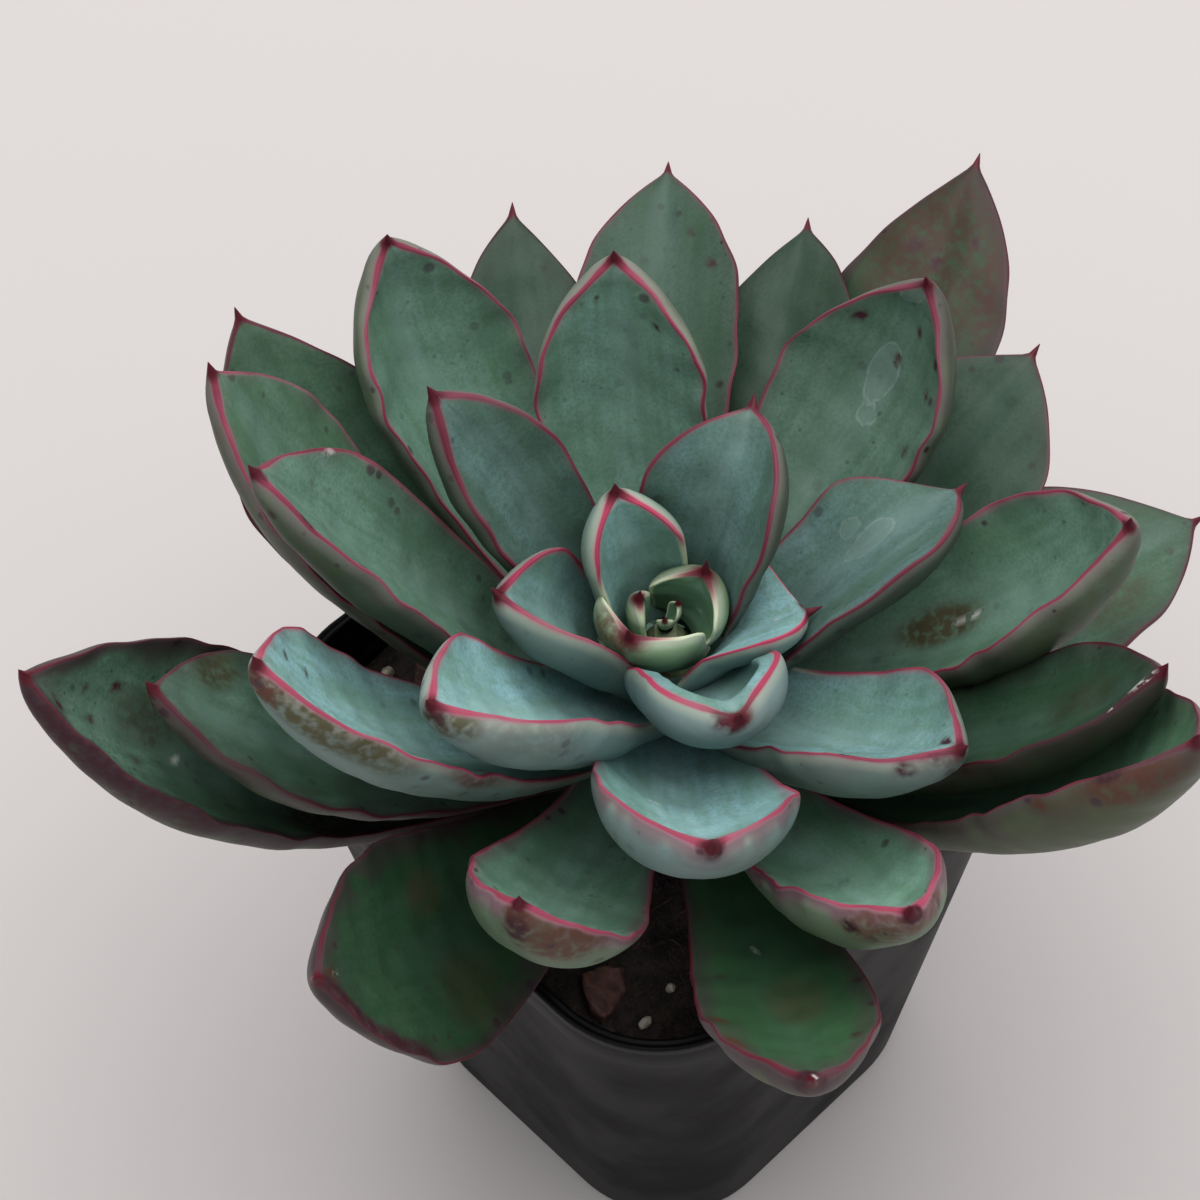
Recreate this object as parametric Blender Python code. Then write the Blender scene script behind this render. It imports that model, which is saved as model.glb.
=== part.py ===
"""A potted echeveria: a rosette of fleshy leaves on a short stem, rooted in a square nursery pot of soil.

Lengths are in metres and angles in degrees. The origin is on the ground under the middle of the pot,
whose sides run along X and Y. A corner of the pot, at -X and -Y, is the plant's front.
"""
import math
import random
from typing import NamedTuple

import bmesh
import bpy
from mathutils import Vector, noise

# Pot: each side length is measured over the outside faces
POT_HEIGHT = 0.080
POT_RIM_SIDE = 0.070
POT_FOOT_SIDE = 0.051
POT_CORNER = 0.015
POT_WALL = 0.0012
POT_FLOOR = 0.0016
COLLAR_DEPTH = 0.0075
COLLAR_STEP = 0.0009
RIM_THICKNESS = 0.0015
EDGE_ROUND = 0.0006
FOOT_ROUND = 0.001
DRAIN_RADIUS = 0.004
DRAIN_PLACE = 0.014
DRAIN_SIDES = 20
CORNER_POINTS = 7

# Soil, with a plain hole for the stem
SOIL_TOP = 0.072
SOIL_RELIEF = 0.0008
SOIL_LUMP = 0.006
SOIL_RINGS = 9
SOIL_SIDE_POINTS = 5
STEM_HOLE_RADIUS = 0.0076
FIT_GAP = 0.0003

# Stem, as (height, radius) from its root end up
STEM_PROFILE = [(0.054, 0.0050), (0.056, 0.0068), (0.072, 0.0072), (0.080, 0.0066), (0.090, 0.0046),
                (0.096, 0.0022), (0.0974, 0.0015)]
STEM_SIDES = 20

# The plant as a whole: a leaf's azimuth is counted from the plant's own right-hand side
PLANT_TURN = -42.0
PLANT_SHIFT = 0.001
LOWEST_LEAF = 0.0752
HIGHEST_LEAF = 0.0974
CROWDING = 1.5
LEAF_STEM_GAP = 0.0005

# Leaf outline and section, shared by all leaves: stations and widest place are shares of the length
STATIONS = [0.0, 0.07, 0.16, 0.27, 0.38, 0.49, 0.59, 0.68, 0.76, 0.84, 0.91, 0.965, 1.0]
WIDEST_AT = 0.66
HALF_POINTS = 6
EDGE_HALF = 0.00045
FLESH_EDGE = 0.0003
UPPER_SHARE = 0.30
LOWER_SHARE = 0.70
TIP_DEPTH = 0.0007
MUCRO = 0.0016
MUCRO_FULL_FROM = 0.030
USUAL_CURL = 1.5
MIDLINE_STEPS = 200


class Leaf(NamedTuple):
    """One leaf: its azimuth and size, how it rises, bends, rolls and cups, and how late it curls."""
    azimuth: float
    length: float
    half_width: float
    rise_base: float
    rise_tip: float
    bend: float
    roll: float
    cup: float
    curl: float = USUAL_CURL


# Youngest ring first, and youngest leaf first in each: the order sets each leaf's height on the stem
HEART = [
    Leaf(179, 0.0074, 0.0022, 87, 92, -2, -9, 61, 1.2),
    Leaf(244, 0.0135, 0.0077, 62, 79, -19, 10, 66, 1.8),
    Leaf(27, 0.0101, 0.0061, 81, 81, 11, 16, 78, 1.5),
    Leaf(198, 0.0068, 0.0030, 64, 53, -34, 17, 5, 1.6),
]
INNER = [
    Leaf(127, 0.022, 0.0072, 79, 78, -19, 0, 80, 1.5),
    Leaf(284, 0.0255, 0.0106, 44, 71, 20, -15, 81, 3.2),
    Leaf(347, 0.0156, 0.0104, 85, 0, 31, -28, 45, 0.9),
    Leaf(197, 0.026, 0.0095, 62, 57, -19, 9, 82, 1.8),
]
MIDDLE = [
    Leaf(48, 0.031, 0.0105, 78, 19, 25, -9, 73, 2.5),
    Leaf(147, 0.0425, 0.0080, 59, 60, 7, -11, 63, 0.7),
    Leaf(317, 0.0405, 0.0118, 5, 54, 16, -20, 66, 0.7),
    Leaf(230, 0.049, 0.0117, 40, 64, -20, 10, 71, 0.7),
    Leaf(8, 0.035, 0.0114, 43, 0, 34, -27, 43, 2.2),
    Leaf(269, 0.0495, 0.0130, 32, 70, 19, -16, 61, 1.5),
]
OUTER = [
    Leaf(97, 0.0485, 0.0113, 12, 86, -4, -8, 60, 0.8),
    Leaf(136, 0.0585, 0.0127, 24, 92, -34, 20, 62, 2.6),
    Leaf(46, 0.052, 0.0132, 20, 92, 5, -9, 63, 3.2),
    Leaf(179, 0.0625, 0.0112, 41, 66, 2, 11, 54, 0.7),
    Leaf(216, 0.0695, 0.0131, 29, 76, -26, 18, 46, 1.0),
    Leaf(5, 0.059, 0.0131, 10, 85, -20, -5, 75, 1.7),
    Leaf(247, 0.0605, 0.0106, 17, 87, 9, -12, 41, 1.5),
    Leaf(301, 0.0555, 0.0106, 0, 73, -9, -9, 67, 1.0),
    Leaf(89, 0.0605, 0.0108, 23, 0, -6, -6, 46, 0.9),
    Leaf(32, 0.0515, 0.0131, 19, 20, 17, 3, 27, 1.5),
    Leaf(172, 0.0685, 0.0125, 32, 69, -34, 26, 29, 0.9),
]
LOWEST = [
    Leaf(332, 0.0645, 0.0112, 23, 69, 22, -22, 51, 1.6),
    Leaf(205, 0.0675, 0.0122, 27, 64, -23, 14, 25, 1.5),
    Leaf(66, 0.055, 0.0100, 20, 6, 14, -18, 30, 1.5),
    Leaf(154, 0.0635, 0.0117, 15, 59, -33, -7, 31, 1.0),
    Leaf(112, 0.0575, 0.0097, 13, 21, -23, 12, 36, 1.5),
    Leaf(332, 0.081, 0.0140, 1, 81, -17, -12, 67, 0.9),
    Leaf(8, 0.058, 0.0130, 18, 0, 22, -1, 35, 1.1),
    Leaf(231, 0.073, 0.0129, 8, 65, 8, -41, 27, 0.9),
    Leaf(285, 0.0675, 0.0100, 5, 61, -13, -5, 32, 1.0),
    Leaf(198, 0.0845, 0.0140, 8, 72, -10, -9, 72, 1.0),
    Leaf(51, 0.0695, 0.0117, 18, 15, 17, -14, 7, 3.2),
]
RINGS = [("heart", HEART, "leaf_young"), ("inner", INNER, "leaf_young"), ("middle", MIDDLE, "leaf_grown"),
         ("outer", OUTER, "leaf_grown"), ("lowest", LOWEST, "leaf_old")]

# Neck and blade sizes by leaf length: (length, neck half width, neck depth, blade depth)
SIZE_STEPS = [(0.008, 0.0013, 0.0012, 0.0022), (0.028, 0.0020, 0.0016, 0.0042),
              (0.045, 0.0022, 0.0017, 0.0050), (0.060, 0.0023, 0.0017, 0.0045)]

# Shares along the leaf for flesh, for its thinning tip and for the cup
FLESH_STEPS = [(0.0, 0.0), (0.35, 0.8), (0.75, 1.0), (0.95, 0.55), (1.0, 0.1)]
TIP_STEPS = [(0.9, 0.0), (1.0, 1.0)]
CUP_STEPS = [(0.0, 0.9), (0.3, 0.9), (0.75, 1.0), (1.0, 0.8)]

# Growing tip: two leaflets on a small dome
TIP_HEIGHT = 0.0986
TIP_RADIUS = 0.0009
LEAFLET_INSET = 0.0003
LEAFLETS = [Leaf(20, 0.0042, 0.0014, 66, 82, 0, 0, 40), Leaf(265, 0.0034, 0.0012, 70, 84, 0, 0, 40)]


class Loose(NamedTuple):
    """A loose piece lying on the soil: its place, turn and size."""
    x: float
    y: float
    turn: float
    length: float
    width: float
    height: float


BARK = [
    Loose(-0.0275, -0.0185, 228, 0.0078, 0.0058, 0.0016),
    Loose(-0.0140, 0.0240, 70, 0.0070, 0.0045, 0.0014),
    Loose(-0.0190, 0.0100, 10, 0.0065, 0.0045, 0.0014),
    Loose(0.0220, 0.0160, -60, 0.0075, 0.0050, 0.0016),
    Loose(0.0200, -0.0190, 35, 0.0070, 0.0045, 0.0014),
    Loose(-0.0100, -0.0240, 120, 0.0060, 0.0040, 0.0013),
]
BARK_CORNERS = 8
BARK_TAPER = 0.35
PERLITE = [
    Loose(-0.0165, 0.0285, 0, 0.0017, 0.0015, 0.0014),
    Loose(-0.0268, -0.0245, 40, 0.0018, 0.0012, 0.0011),
    Loose(-0.0218, -0.0235, 10, 0.0012, 0.0011, 0.0010),
    Loose(0.0100, 0.0260, 70, 0.0022, 0.0019, 0.0017),
    Loose(0.0270, -0.0080, 20, 0.0020, 0.0018, 0.0016),
]
LOOSE_MARGIN = 0.0016


def remove_everything():
    """Empties the file that the script runs in."""
    for old in list(bpy.data.objects):
        bpy.data.objects.remove(old, do_unlink=True)


def plain_material(name, color, roughness):
    """A material of one colour and roughness, with no metal in it."""
    made = bpy.data.materials.new(name)
    made.use_nodes = True
    shader = made.node_tree.nodes["Principled BSDF"]
    shader.inputs["Base Color"].default_value = (*color, 1.0)
    shader.inputs["Roughness"].default_value = roughness
    shader.inputs["Metallic"].default_value = 0.0
    return made


def pot_material():
    """Black nursery-pot plastic."""
    return plain_material("pot_plastic", (0.018, 0.018, 0.020), 0.55)


def soil_material():
    """Dark peaty soil."""
    return plain_material("soil", (0.022, 0.014, 0.011), 0.95)


def stem_material():
    """Pale corky stem."""
    return plain_material("stem", (0.22, 0.26, 0.14), 0.70)


def bark_material():
    """Red-brown bark."""
    return plain_material("bark", (0.090, 0.035, 0.022), 0.85)


def perlite_material():
    """Off-white perlite."""
    return plain_material("perlite", (0.60, 0.57, 0.50), 0.90)


def leaf_materials():
    """Leaf greens, paler in the young leaves."""
    return {
        "leaf_young": plain_material("leaf_young", (0.22, 0.33, 0.24), 0.50),
        "leaf_grown": plain_material("leaf_grown", (0.14, 0.24, 0.18), 0.50),
        "leaf_old": plain_material("leaf_old", (0.08, 0.15, 0.08), 0.50),
    }


def add_object(name, bm, look, smooth_below=40.0):
    """Makes a named object from a finished bmesh, with its faces pointing out."""
    bmesh.ops.recalc_face_normals(bm, faces=bm.faces)
    mesh = bpy.data.meshes.new(name)
    bm.to_mesh(mesh)
    bm.free()
    mesh.materials.append(look)
    mesh.shade_smooth()
    mesh.set_sharp_from_angle(angle=math.radians(smooth_below))
    made = bpy.data.objects.new(name, mesh)
    bpy.context.scene.collection.objects.link(made)
    return made


def skin_rings(rings):
    """Joins rings of equal length with quads and closes both ends."""
    bm = bmesh.new()
    loops = [[bm.verts.new(point) for point in ring] for ring in rings]
    for low, high in zip(loops, loops[1:]):
        for k in range(len(low)):
            bm.faces.new((low[k - 1], low[k], high[k], high[k - 1]))
    bm.faces.new(loops[0][::-1])
    bm.faces.new(loops[-1])
    return bm


def interpolate(value, steps, column=1):
    """Reads rows of (value, ...) at one value, in a straight line between two rows."""
    if value <= steps[0][0]:
        return steps[0][column]
    for low, high in zip(steps, steps[1:]):
        if value <= high[0]:
            share = (value - low[0]) / (high[0] - low[0])
            return low[column] + share * (high[column] - low[column])
    return steps[-1][column]


def around(angle, radius, z=0.0):
    """A point at an angle in radians and a distance from the Z axis."""
    return Vector((radius * math.cos(angle), radius * math.sin(angle), z))


def plant_centre():
    """The stem's axis stands a little to the plant's own right of the pot's middle."""
    return around(math.radians(PLANT_TURN), PLANT_SHIFT)


# Pot and soil

def square_ring(side, corner, z, side_points=0):
    """A rounded square at one height, counter-clockwise from above."""
    ring = []
    for quarter in range(4):
        spin = math.radians(90.0 * quarter)
        middle = around(spin + math.radians(45.0), math.sqrt(2.0) * (side / 2 - corner))
        arc = []
        for k in range(CORNER_POINTS):
            arc.append(middle + around(spin + math.radians(90.0) * k / (CORNER_POINTS - 1), corner, z))
        if ring:
            ring += fill_side(ring[-1], arc[0], side_points)
        ring += arc
    return ring + fill_side(ring[-1], ring[0], side_points)


def fill_side(start, end, count):
    """Evenly spaced points between two corners' arcs."""
    return [start.lerp(end, (k + 1) / (count + 1)) for k in range(count)]


def body_side(z):
    """Outside width of the pot's tapered body, without its collar."""
    rim_side = POT_RIM_SIDE - 2 * COLLAR_STEP
    return POT_FOOT_SIDE + (rim_side - POT_FOOT_SIDE) * z / POT_HEIGHT


def make_pot(look):
    """The thin square pot, with a collar band under its rim and four drain holes."""
    step = 2 * COLLAR_STEP
    band = POT_HEIGHT - COLLAR_DEPTH
    shoulder = POT_HEIGHT - EDGE_ROUND
    rim_inset = step - 2 * RIM_THICKNESS
    outside = [(0.0, -2 * FOOT_ROUND), (FOOT_ROUND, 0.0), (band, 0.0), (band + EDGE_ROUND, step),
               (shoulder, step), (POT_HEIGHT, step - EDGE_ROUND)]
    inside = [(POT_HEIGHT, rim_inset + EDGE_ROUND), (shoulder, rim_inset), (band + EDGE_ROUND, rim_inset),
              (band, -2 * POT_WALL), (POT_FLOOR, -2 * POT_WALL)]
    rings = [square_ring(body_side(z) + grow, POT_CORNER + grow / 2, z) for z, grow in outside + inside]
    pot = add_object("pot", skin_rings(rings), look)
    for number, (x, y) in enumerate(((1, 1), (-1, 1), (-1, -1), (1, -1)), 1):
        cut = pot.modifiers.new("drain_%d" % number, "BOOLEAN")
        cut.operation = "DIFFERENCE"
        cut.solver = "EXACT"
        cut.object = drain_cutter(number, x * DRAIN_PLACE, y * DRAIN_PLACE, look)


def drain_cutter(number, x, y, look):
    """A round cutter through the pot's floor."""
    bm = bmesh.new()
    bmesh.ops.create_cone(bm, cap_ends=True, segments=DRAIN_SIDES, radius1=DRAIN_RADIUS,
                          radius2=DRAIN_RADIUS, depth=3 * POT_FLOOR)
    bmesh.ops.translate(bm, vec=(x, y, POT_FLOOR / 2), verts=bm.verts)
    cutter = add_object("drain_cutter_%d" % number, bm, look)
    cutter.hide_render = True
    cutter.display_type = "WIRE"
    return cutter


def soil_height(x, y):
    """Lumpy soil, level where a loose piece lies."""
    spot = Vector((x / SOIL_LUMP, y / SOIL_LUMP, 0.0))
    lump = SOIL_RELIEF * (noise.noise(spot) + 0.5 * noise.noise(2.3 * spot))
    for piece in BARK + PERLITE:
        clear = math.hypot(x - piece.x, y - piece.y) - piece.length / 2
        lump *= min(max(clear / LOOSE_MARGIN - 0.5, 0.0), 1.0)
    return SOIL_TOP + lump


def make_soil(look):
    """The soil block: lumpy on top, tapered with the pot, with a plain blind hole for the stem."""
    centre = plant_centre()
    slack = 2 * (POT_WALL + FIT_GAP)
    corner = POT_CORNER - POT_WALL - FIT_GAP
    floor = POT_FLOOR + FIT_GAP
    edge = square_ring(body_side(SOIL_TOP) - slack, corner, 0.0, SOIL_SIDE_POINTS)
    mouth = [centre + around(math.atan2(p.y - centre.y, p.x - centre.x), STEM_HOLE_RADIUS) for p in edge]
    hole_floor = STEM_PROFILE[0][0] - FIT_GAP
    rings = [[Vector((p.x, p.y, hole_floor)) for p in mouth]]
    for k in range(SOIL_RINGS + 1):
        spread = [near.lerp(far, k / SOIL_RINGS) for near, far in zip(mouth, edge)]
        rings.append([Vector((p.x, p.y, soil_height(p.x, p.y))) for p in spread])
    rings.append(square_ring(body_side(floor) - slack, corner, floor, SOIL_SIDE_POINTS))
    add_object("soil", skin_rings(rings), look, smooth_below=60.0)


def make_stem(look):
    """The short stem, thinning upward, with its root end in the soil."""
    turns = [2 * math.pi * k / STEM_SIDES for k in range(STEM_SIDES)]
    rings = [[plant_centre() + around(turn, radius, z) for turn in turns] for z, radius in STEM_PROFILE]
    add_object("stem", skin_rings(rings), look)


def make_bark_chip(number, piece, look):
    """A flat flake of bark with uneven corners, narrower toward one end."""
    draw = random.Random(number)
    turn = math.radians(piece.turn)
    corners = []
    for k in range(BARK_CORNERS):
        angle = 2 * math.pi * (k + draw.uniform(-0.2, 0.2)) / BARK_CORNERS
        reach = draw.uniform(0.82, 1.0)
        along = piece.length / 2 * reach * math.cos(angle)
        across = piece.width / 2 * reach * math.sin(angle) * (1 - BARK_TAPER * math.cos(angle))
        corners.append(Vector((along, across, 0.0)))
    place = Vector((piece.x, piece.y, SOIL_TOP + FIT_GAP))
    rings = []
    for lift, spread in ((0.0, 0.90), (0.35, 1.0), (0.80, 0.96), (1.0, 0.84)):
        ring = []
        for corner in corners:
            angle = turn + math.atan2(corner.y, corner.x)
            ring.append(place + around(angle, spread * corner.length, lift * piece.height))
        rings.append(ring)
    add_object("bark_chip_%d" % number, skin_rings(rings), look)


def make_perlite(number, piece, look):
    """A pale lumpy grain."""
    bm = bmesh.new()
    bmesh.ops.create_icosphere(bm, subdivisions=2, radius=0.5)
    for v in bm.verts:
        v.co *= 1.0 + 0.14 * noise.noise(3.0 * v.co + Vector((5.0 * number, 0.0, 0.0)))
    bmesh.ops.scale(bm, vec=(piece.length, piece.width, piece.height), verts=bm.verts)
    bmesh.ops.translate(bm, vec=(piece.x, piece.y, SOIL_TOP), verts=bm.verts)
    seat = SOIL_TOP + FIT_GAP - min(v.co.z for v in bm.verts)
    bmesh.ops.translate(bm, vec=(0.0, 0.0, seat), verts=bm.verts)
    add_object("perlite_%d" % number, bm, look, smooth_below=60.0)


# Leaves

def half_width_at(share, widest, neck):
    """Half width along the leaf: a narrow neck, the widest place, then an arched point."""
    if share < WIDEST_AT:
        swell = math.sin(math.pi / 2 * (share / WIDEST_AT) ** 1.25) ** 2
        return neck + (widest - neck) * swell
    past = (share - WIDEST_AT) / (1.0 - WIDEST_AT)
    return max(widest * (1.0 - past * past), EDGE_HALF)


def depth_at(share, blade, neck):
    """Thickness of the flesh along the leaf, thin at the neck and at the tip."""
    flesh = neck + (blade - neck) * interpolate(share, FLESH_STEPS)
    return flesh - (neck - TIP_DEPTH) * interpolate(share, TIP_STEPS)


def midline(leaf, base_radius, base_height):
    """Places and directions along the leaf's middle, in fine steps from neck to tip."""
    turn = math.radians(leaf.azimuth + PLANT_TURN)
    place = plant_centre() + around(turn, base_radius, base_height)
    line = []
    for k in range(MIDLINE_STEPS + 1):
        share = k / MIDLINE_STEPS
        rise = math.radians(leaf.rise_base + (leaf.rise_tip - leaf.rise_base) * share ** leaf.curl)
        heading = turn + math.radians(leaf.bend) * share ** 1.5
        ahead = around(heading, math.cos(rise), math.sin(rise))
        if line:
            place = place + (ahead + line[-1][1]) * (0.5 * leaf.length / MIDLINE_STEPS)
        line.append((place, ahead, around(heading + math.pi / 2, 1.0)))
    return line


def leaf_section(leaf, line, share, sizes):
    """One closed cross-section: the channelled upper face, then the keeled underside."""
    neck_width, neck_depth, blade_depth = sizes
    place, ahead, across = line[round(share * MIDLINE_STEPS)]
    above = ahead.cross(across)
    roll = math.radians(leaf.roll) * min(2 * share, 1.0)
    side = across * math.cos(roll) + above * math.sin(roll)
    top = above * math.cos(roll) - across * math.sin(roll)
    width = half_width_at(share, leaf.half_width, neck_width)
    depth = depth_at(share, blade_depth, neck_depth)
    cup = max(math.radians(leaf.cup) * interpolate(share, CUP_STEPS), 0.001)
    upper_flesh = max(UPPER_SHARE * depth - FLESH_EDGE, 0.0)
    lower_flesh = max(LOWER_SHARE * depth - FLESH_EDGE, 0.0)
    upper = []
    lower = []
    for k in range(HALF_POINTS + 1):
        u = math.sin(math.pi * (k / HALF_POINTS - 0.5))
        bow = cup * u
        middle = place + side * (width * math.sin(bow) / cup) + top * (width * (1 - math.cos(bow)) / cup)
        out = top * math.cos(bow) - side * math.sin(bow)
        inward = max(1 - u * u, 0.0)
        edge = EDGE_HALF * math.sqrt(inward)
        upper.append(middle + out * (edge + upper_flesh * inward))
        lower.append(middle - out * (edge + lower_flesh * inward ** 0.8))
    return upper + lower[-2:0:-1]


def leaf_body(leaf, base_radius, base_height):
    """Skins one leaf, split into triangles alike on both faces, with a mucro at its tip."""
    sizes = [interpolate(leaf.length, SIZE_STEPS, column) for column in (1, 2, 3)]
    line = midline(leaf, base_radius, base_height)
    bm = bmesh.new()
    rings = [[bm.verts.new(p) for p in leaf_section(leaf, line, share, sizes)] for share in STATIONS]
    for low, high in zip(rings, rings[1:]):
        for k in range(len(low)):
            if 0 < k <= HALF_POINTS:
                bm.faces.new((low[k - 1], low[k], high[k]))
                bm.faces.new((low[k - 1], high[k], high[k - 1]))
            else:
                bm.faces.new((low[k - 1], low[k], high[k - 1]))
                bm.faces.new((low[k], high[k], high[k - 1]))
    bm.faces.new(rings[0][::-1])
    end = rings[-1]
    mucro = MUCRO * min(leaf.length / MUCRO_FULL_FROM, 1.0)
    point = bm.verts.new(sum((v.co for v in end), Vector()) / len(end) + line[-1][1] * mucro)
    for k in range(len(end)):
        bm.faces.new((end[k - 1], end[k], point))
    return bm


def make_leaf(name, leaf, age, look):
    """One leaf, whose height on the stem follows from its age, 0 for the youngest and 1 for the oldest."""
    height = LOWEST_LEAF + (HIGHEST_LEAF - LOWEST_LEAF) * (1.0 - age) ** CROWDING
    lean = interpolate(leaf.length, SIZE_STEPS, 2) / 2 * math.sin(math.radians(leaf.rise_base))
    radius = interpolate(height, STEM_PROFILE) + LEAF_STEM_GAP + lean
    add_object(name, leaf_body(leaf, radius, height), look, smooth_below=60.0)


def make_leaves(looks):
    """Every leaf of the rosette, youngest first."""
    count = sum(len(leaves) for _, leaves, _ in RINGS)
    placed = 0
    for ring, leaves, look in RINGS:
        for number, leaf in enumerate(leaves, 1):
            make_leaf("%s_leaf_%d" % (ring, number), leaf, placed / (count - 1), looks[look])
            placed += 1


def make_growing_tip(look):
    """The growing tip: leaflets united with the small dome that they grow from."""
    group = bpy.data.collections.new("leaflets")
    for number, leaf in enumerate(LEAFLETS, 1):
        leaflet = add_object("leaflet_%d" % number, leaf_body(leaf, LEAFLET_INSET, TIP_HEIGHT), look)
        bpy.context.scene.collection.objects.unlink(leaflet)
        group.objects.link(leaflet)
    bm = bmesh.new()
    bmesh.ops.create_uvsphere(bm, u_segments=12, v_segments=8, radius=TIP_RADIUS)
    bmesh.ops.translate(bm, vec=plant_centre() + Vector((0.0, 0.0, TIP_HEIGHT)), verts=bm.verts)
    tip = add_object("growing_tip", bm, look, smooth_below=60.0)
    union = tip.modifiers.new("leaflets", "BOOLEAN")
    union.operation = "UNION"
    union.solver = "EXACT"
    union.operand_type = "COLLECTION"
    union.collection = group
    united = bpy.data.meshes.new_from_object(tip.evaluated_get(bpy.context.evaluated_depsgraph_get()))
    tip.modifiers.clear()
    tip.data = united
    for leaflet in list(group.objects):
        bpy.data.objects.remove(leaflet, do_unlink=True)
    bpy.data.collections.remove(group)


def main():
    """Builds every piece of the potted plant."""
    remove_everything()
    make_pot(pot_material())
    make_soil(soil_material())
    make_stem(stem_material())
    greens = leaf_materials()
    make_leaves(greens)
    make_growing_tip(greens["leaf_young"])
    bark = bark_material()
    for number, piece in enumerate(BARK, 1):
        make_bark_chip(number, piece, bark)
    perlite = perlite_material()
    for number, piece in enumerate(PERLITE, 1):
        make_perlite(number, piece, perlite)


main()
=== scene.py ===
"""Dresses the potted echeveria: fine leaves, pot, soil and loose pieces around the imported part.

Lengths are in metres and angles in degrees, in the part's own frame: +Z up, the pot's sides along X and Y,
and the corner of the pot at -X and -Y toward the camera.
"""
import math
import random
from types import SimpleNamespace
from typing import NamedTuple

import bmesh
import bpy
import numpy as np
from mathutils import Matrix, Vector, noise


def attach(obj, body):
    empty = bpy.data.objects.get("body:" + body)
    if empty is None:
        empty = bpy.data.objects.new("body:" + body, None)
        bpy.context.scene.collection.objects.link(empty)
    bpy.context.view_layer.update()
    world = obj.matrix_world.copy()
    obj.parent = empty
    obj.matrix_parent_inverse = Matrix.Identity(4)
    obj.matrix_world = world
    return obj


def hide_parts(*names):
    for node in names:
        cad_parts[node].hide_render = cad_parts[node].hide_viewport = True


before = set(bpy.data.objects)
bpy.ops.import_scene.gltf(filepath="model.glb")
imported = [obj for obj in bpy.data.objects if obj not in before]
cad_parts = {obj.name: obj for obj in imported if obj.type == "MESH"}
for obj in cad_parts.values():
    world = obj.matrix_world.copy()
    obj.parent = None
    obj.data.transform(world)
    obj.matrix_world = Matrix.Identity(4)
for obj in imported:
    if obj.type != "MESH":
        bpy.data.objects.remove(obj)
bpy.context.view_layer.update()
BODY = "root"

# Camera, fitted to the pot's rim and sides in the photograph
CAMERA_PLACE = (-0.1618, -0.1706, 0.5121)
CAMERA_PITCH = 60.0
CAMERA_ROLL = -3.0
CAMERA_LENS = 129.0
CAMERA_SENSOR = 36.0

# Pot: each side length is measured over the outside faces
POT_HEIGHT = 0.080
POT_RIM_SIDE = 0.070
POT_FOOT_SIDE = 0.051
POT_CORNER = 0.015
POT_WALL = 0.0012
POT_FLOOR = 0.0016
COLLAR_DEPTH = 0.0075
COLLAR_STEP = 0.0009
RIM_THICKNESS = 0.0015
FOOT_ROUND = 0.001
DRAIN_RADIUS = 0.004
DRAIN_PLACE = 0.014
FIT_GAP = 0.0003

# Soil
SOIL_TOP = 0.072
SOIL_RELIEF = 0.0008
SOIL_LUMP = 0.006
STEM_HOLE_RADIUS = 0.0076

# Stem, as (height, radius) from its root end up
STEM_PROFILE = [(0.054, 0.0050), (0.056, 0.0068), (0.072, 0.0072), (0.080, 0.0066), (0.090, 0.0046),
                (0.096, 0.0022), (0.0974, 0.0015)]

# The plant as a whole: a leaf's azimuth is counted from the plant's own right-hand side
PLANT_TURN = -42.0
PLANT_SHIFT = 0.001
LOWEST_LEAF = 0.0752
HIGHEST_LEAF = 0.0974
CROWDING = 1.5
LEAF_STEM_GAP = 0.0005

# Leaf outline and section, shared by all leaves
WIDEST_AT = 0.66
FLESH_EDGE = 0.0003
EDGE_ROUND = 0.00042
BASE_DEPTH = 0.60
CHANNEL_DEPTH = 0.0004
CHANNEL_HALF = 0.26
RELIEF = 0.00020
UPPER_SHARE = 0.30
LOWER_SHARE = 0.70
TIP_DEPTH = 0.0007
MUCRO_STEPS = [(0.003, 0.0007), (0.007, 0.0016), (0.010, 0.0023), (0.015, 0.0019), (0.022, 0.0016)]
SIZE_STEPS = [(0.008, 0.0013, 0.0012, 0.0022), (0.028, 0.0020, 0.0016, 0.0042),
              (0.045, 0.0022, 0.0017, 0.0050), (0.060, 0.0023, 0.0017, 0.0045)]
FLESH_STEPS = [(0.0, 0.0), (0.35, 0.8), (0.75, 1.0), (0.95, 0.55), (1.0, 0.1)]
TIP_STEPS = [(0.9, 0.0), (1.0, 1.0)]
CUP_STEPS = [(0.0, 0.9), (0.3, 0.9), (0.75, 1.0), (1.0, 0.8)]


class Leaf(NamedTuple):
    """One leaf: its azimuth and size, how it rises, bends, rolls and cups, and how late it curls."""
    azimuth: float
    length: float
    half_width: float
    rise_base: float
    rise_tip: float
    bend: float
    roll: float
    cup: float
    curl: float = 1.5


class Look(NamedTuple):
    """A leaf's finish: depth is that of its green, line its red edge, cream how far up its rim is pale,
    and tone how much its colour is scaled, partly its own paler or darker green and partly painted light
    and shade.
    """
    bloom: float
    blush: float
    dots: float
    depth: float
    line: float = 1.0
    cream: float = 0.3
    # tone scales the whole colour: partly the leaf's own green, partly painted light and shade for how
    # brightly the leaf is lit
    tone: float = 1.0


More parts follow.
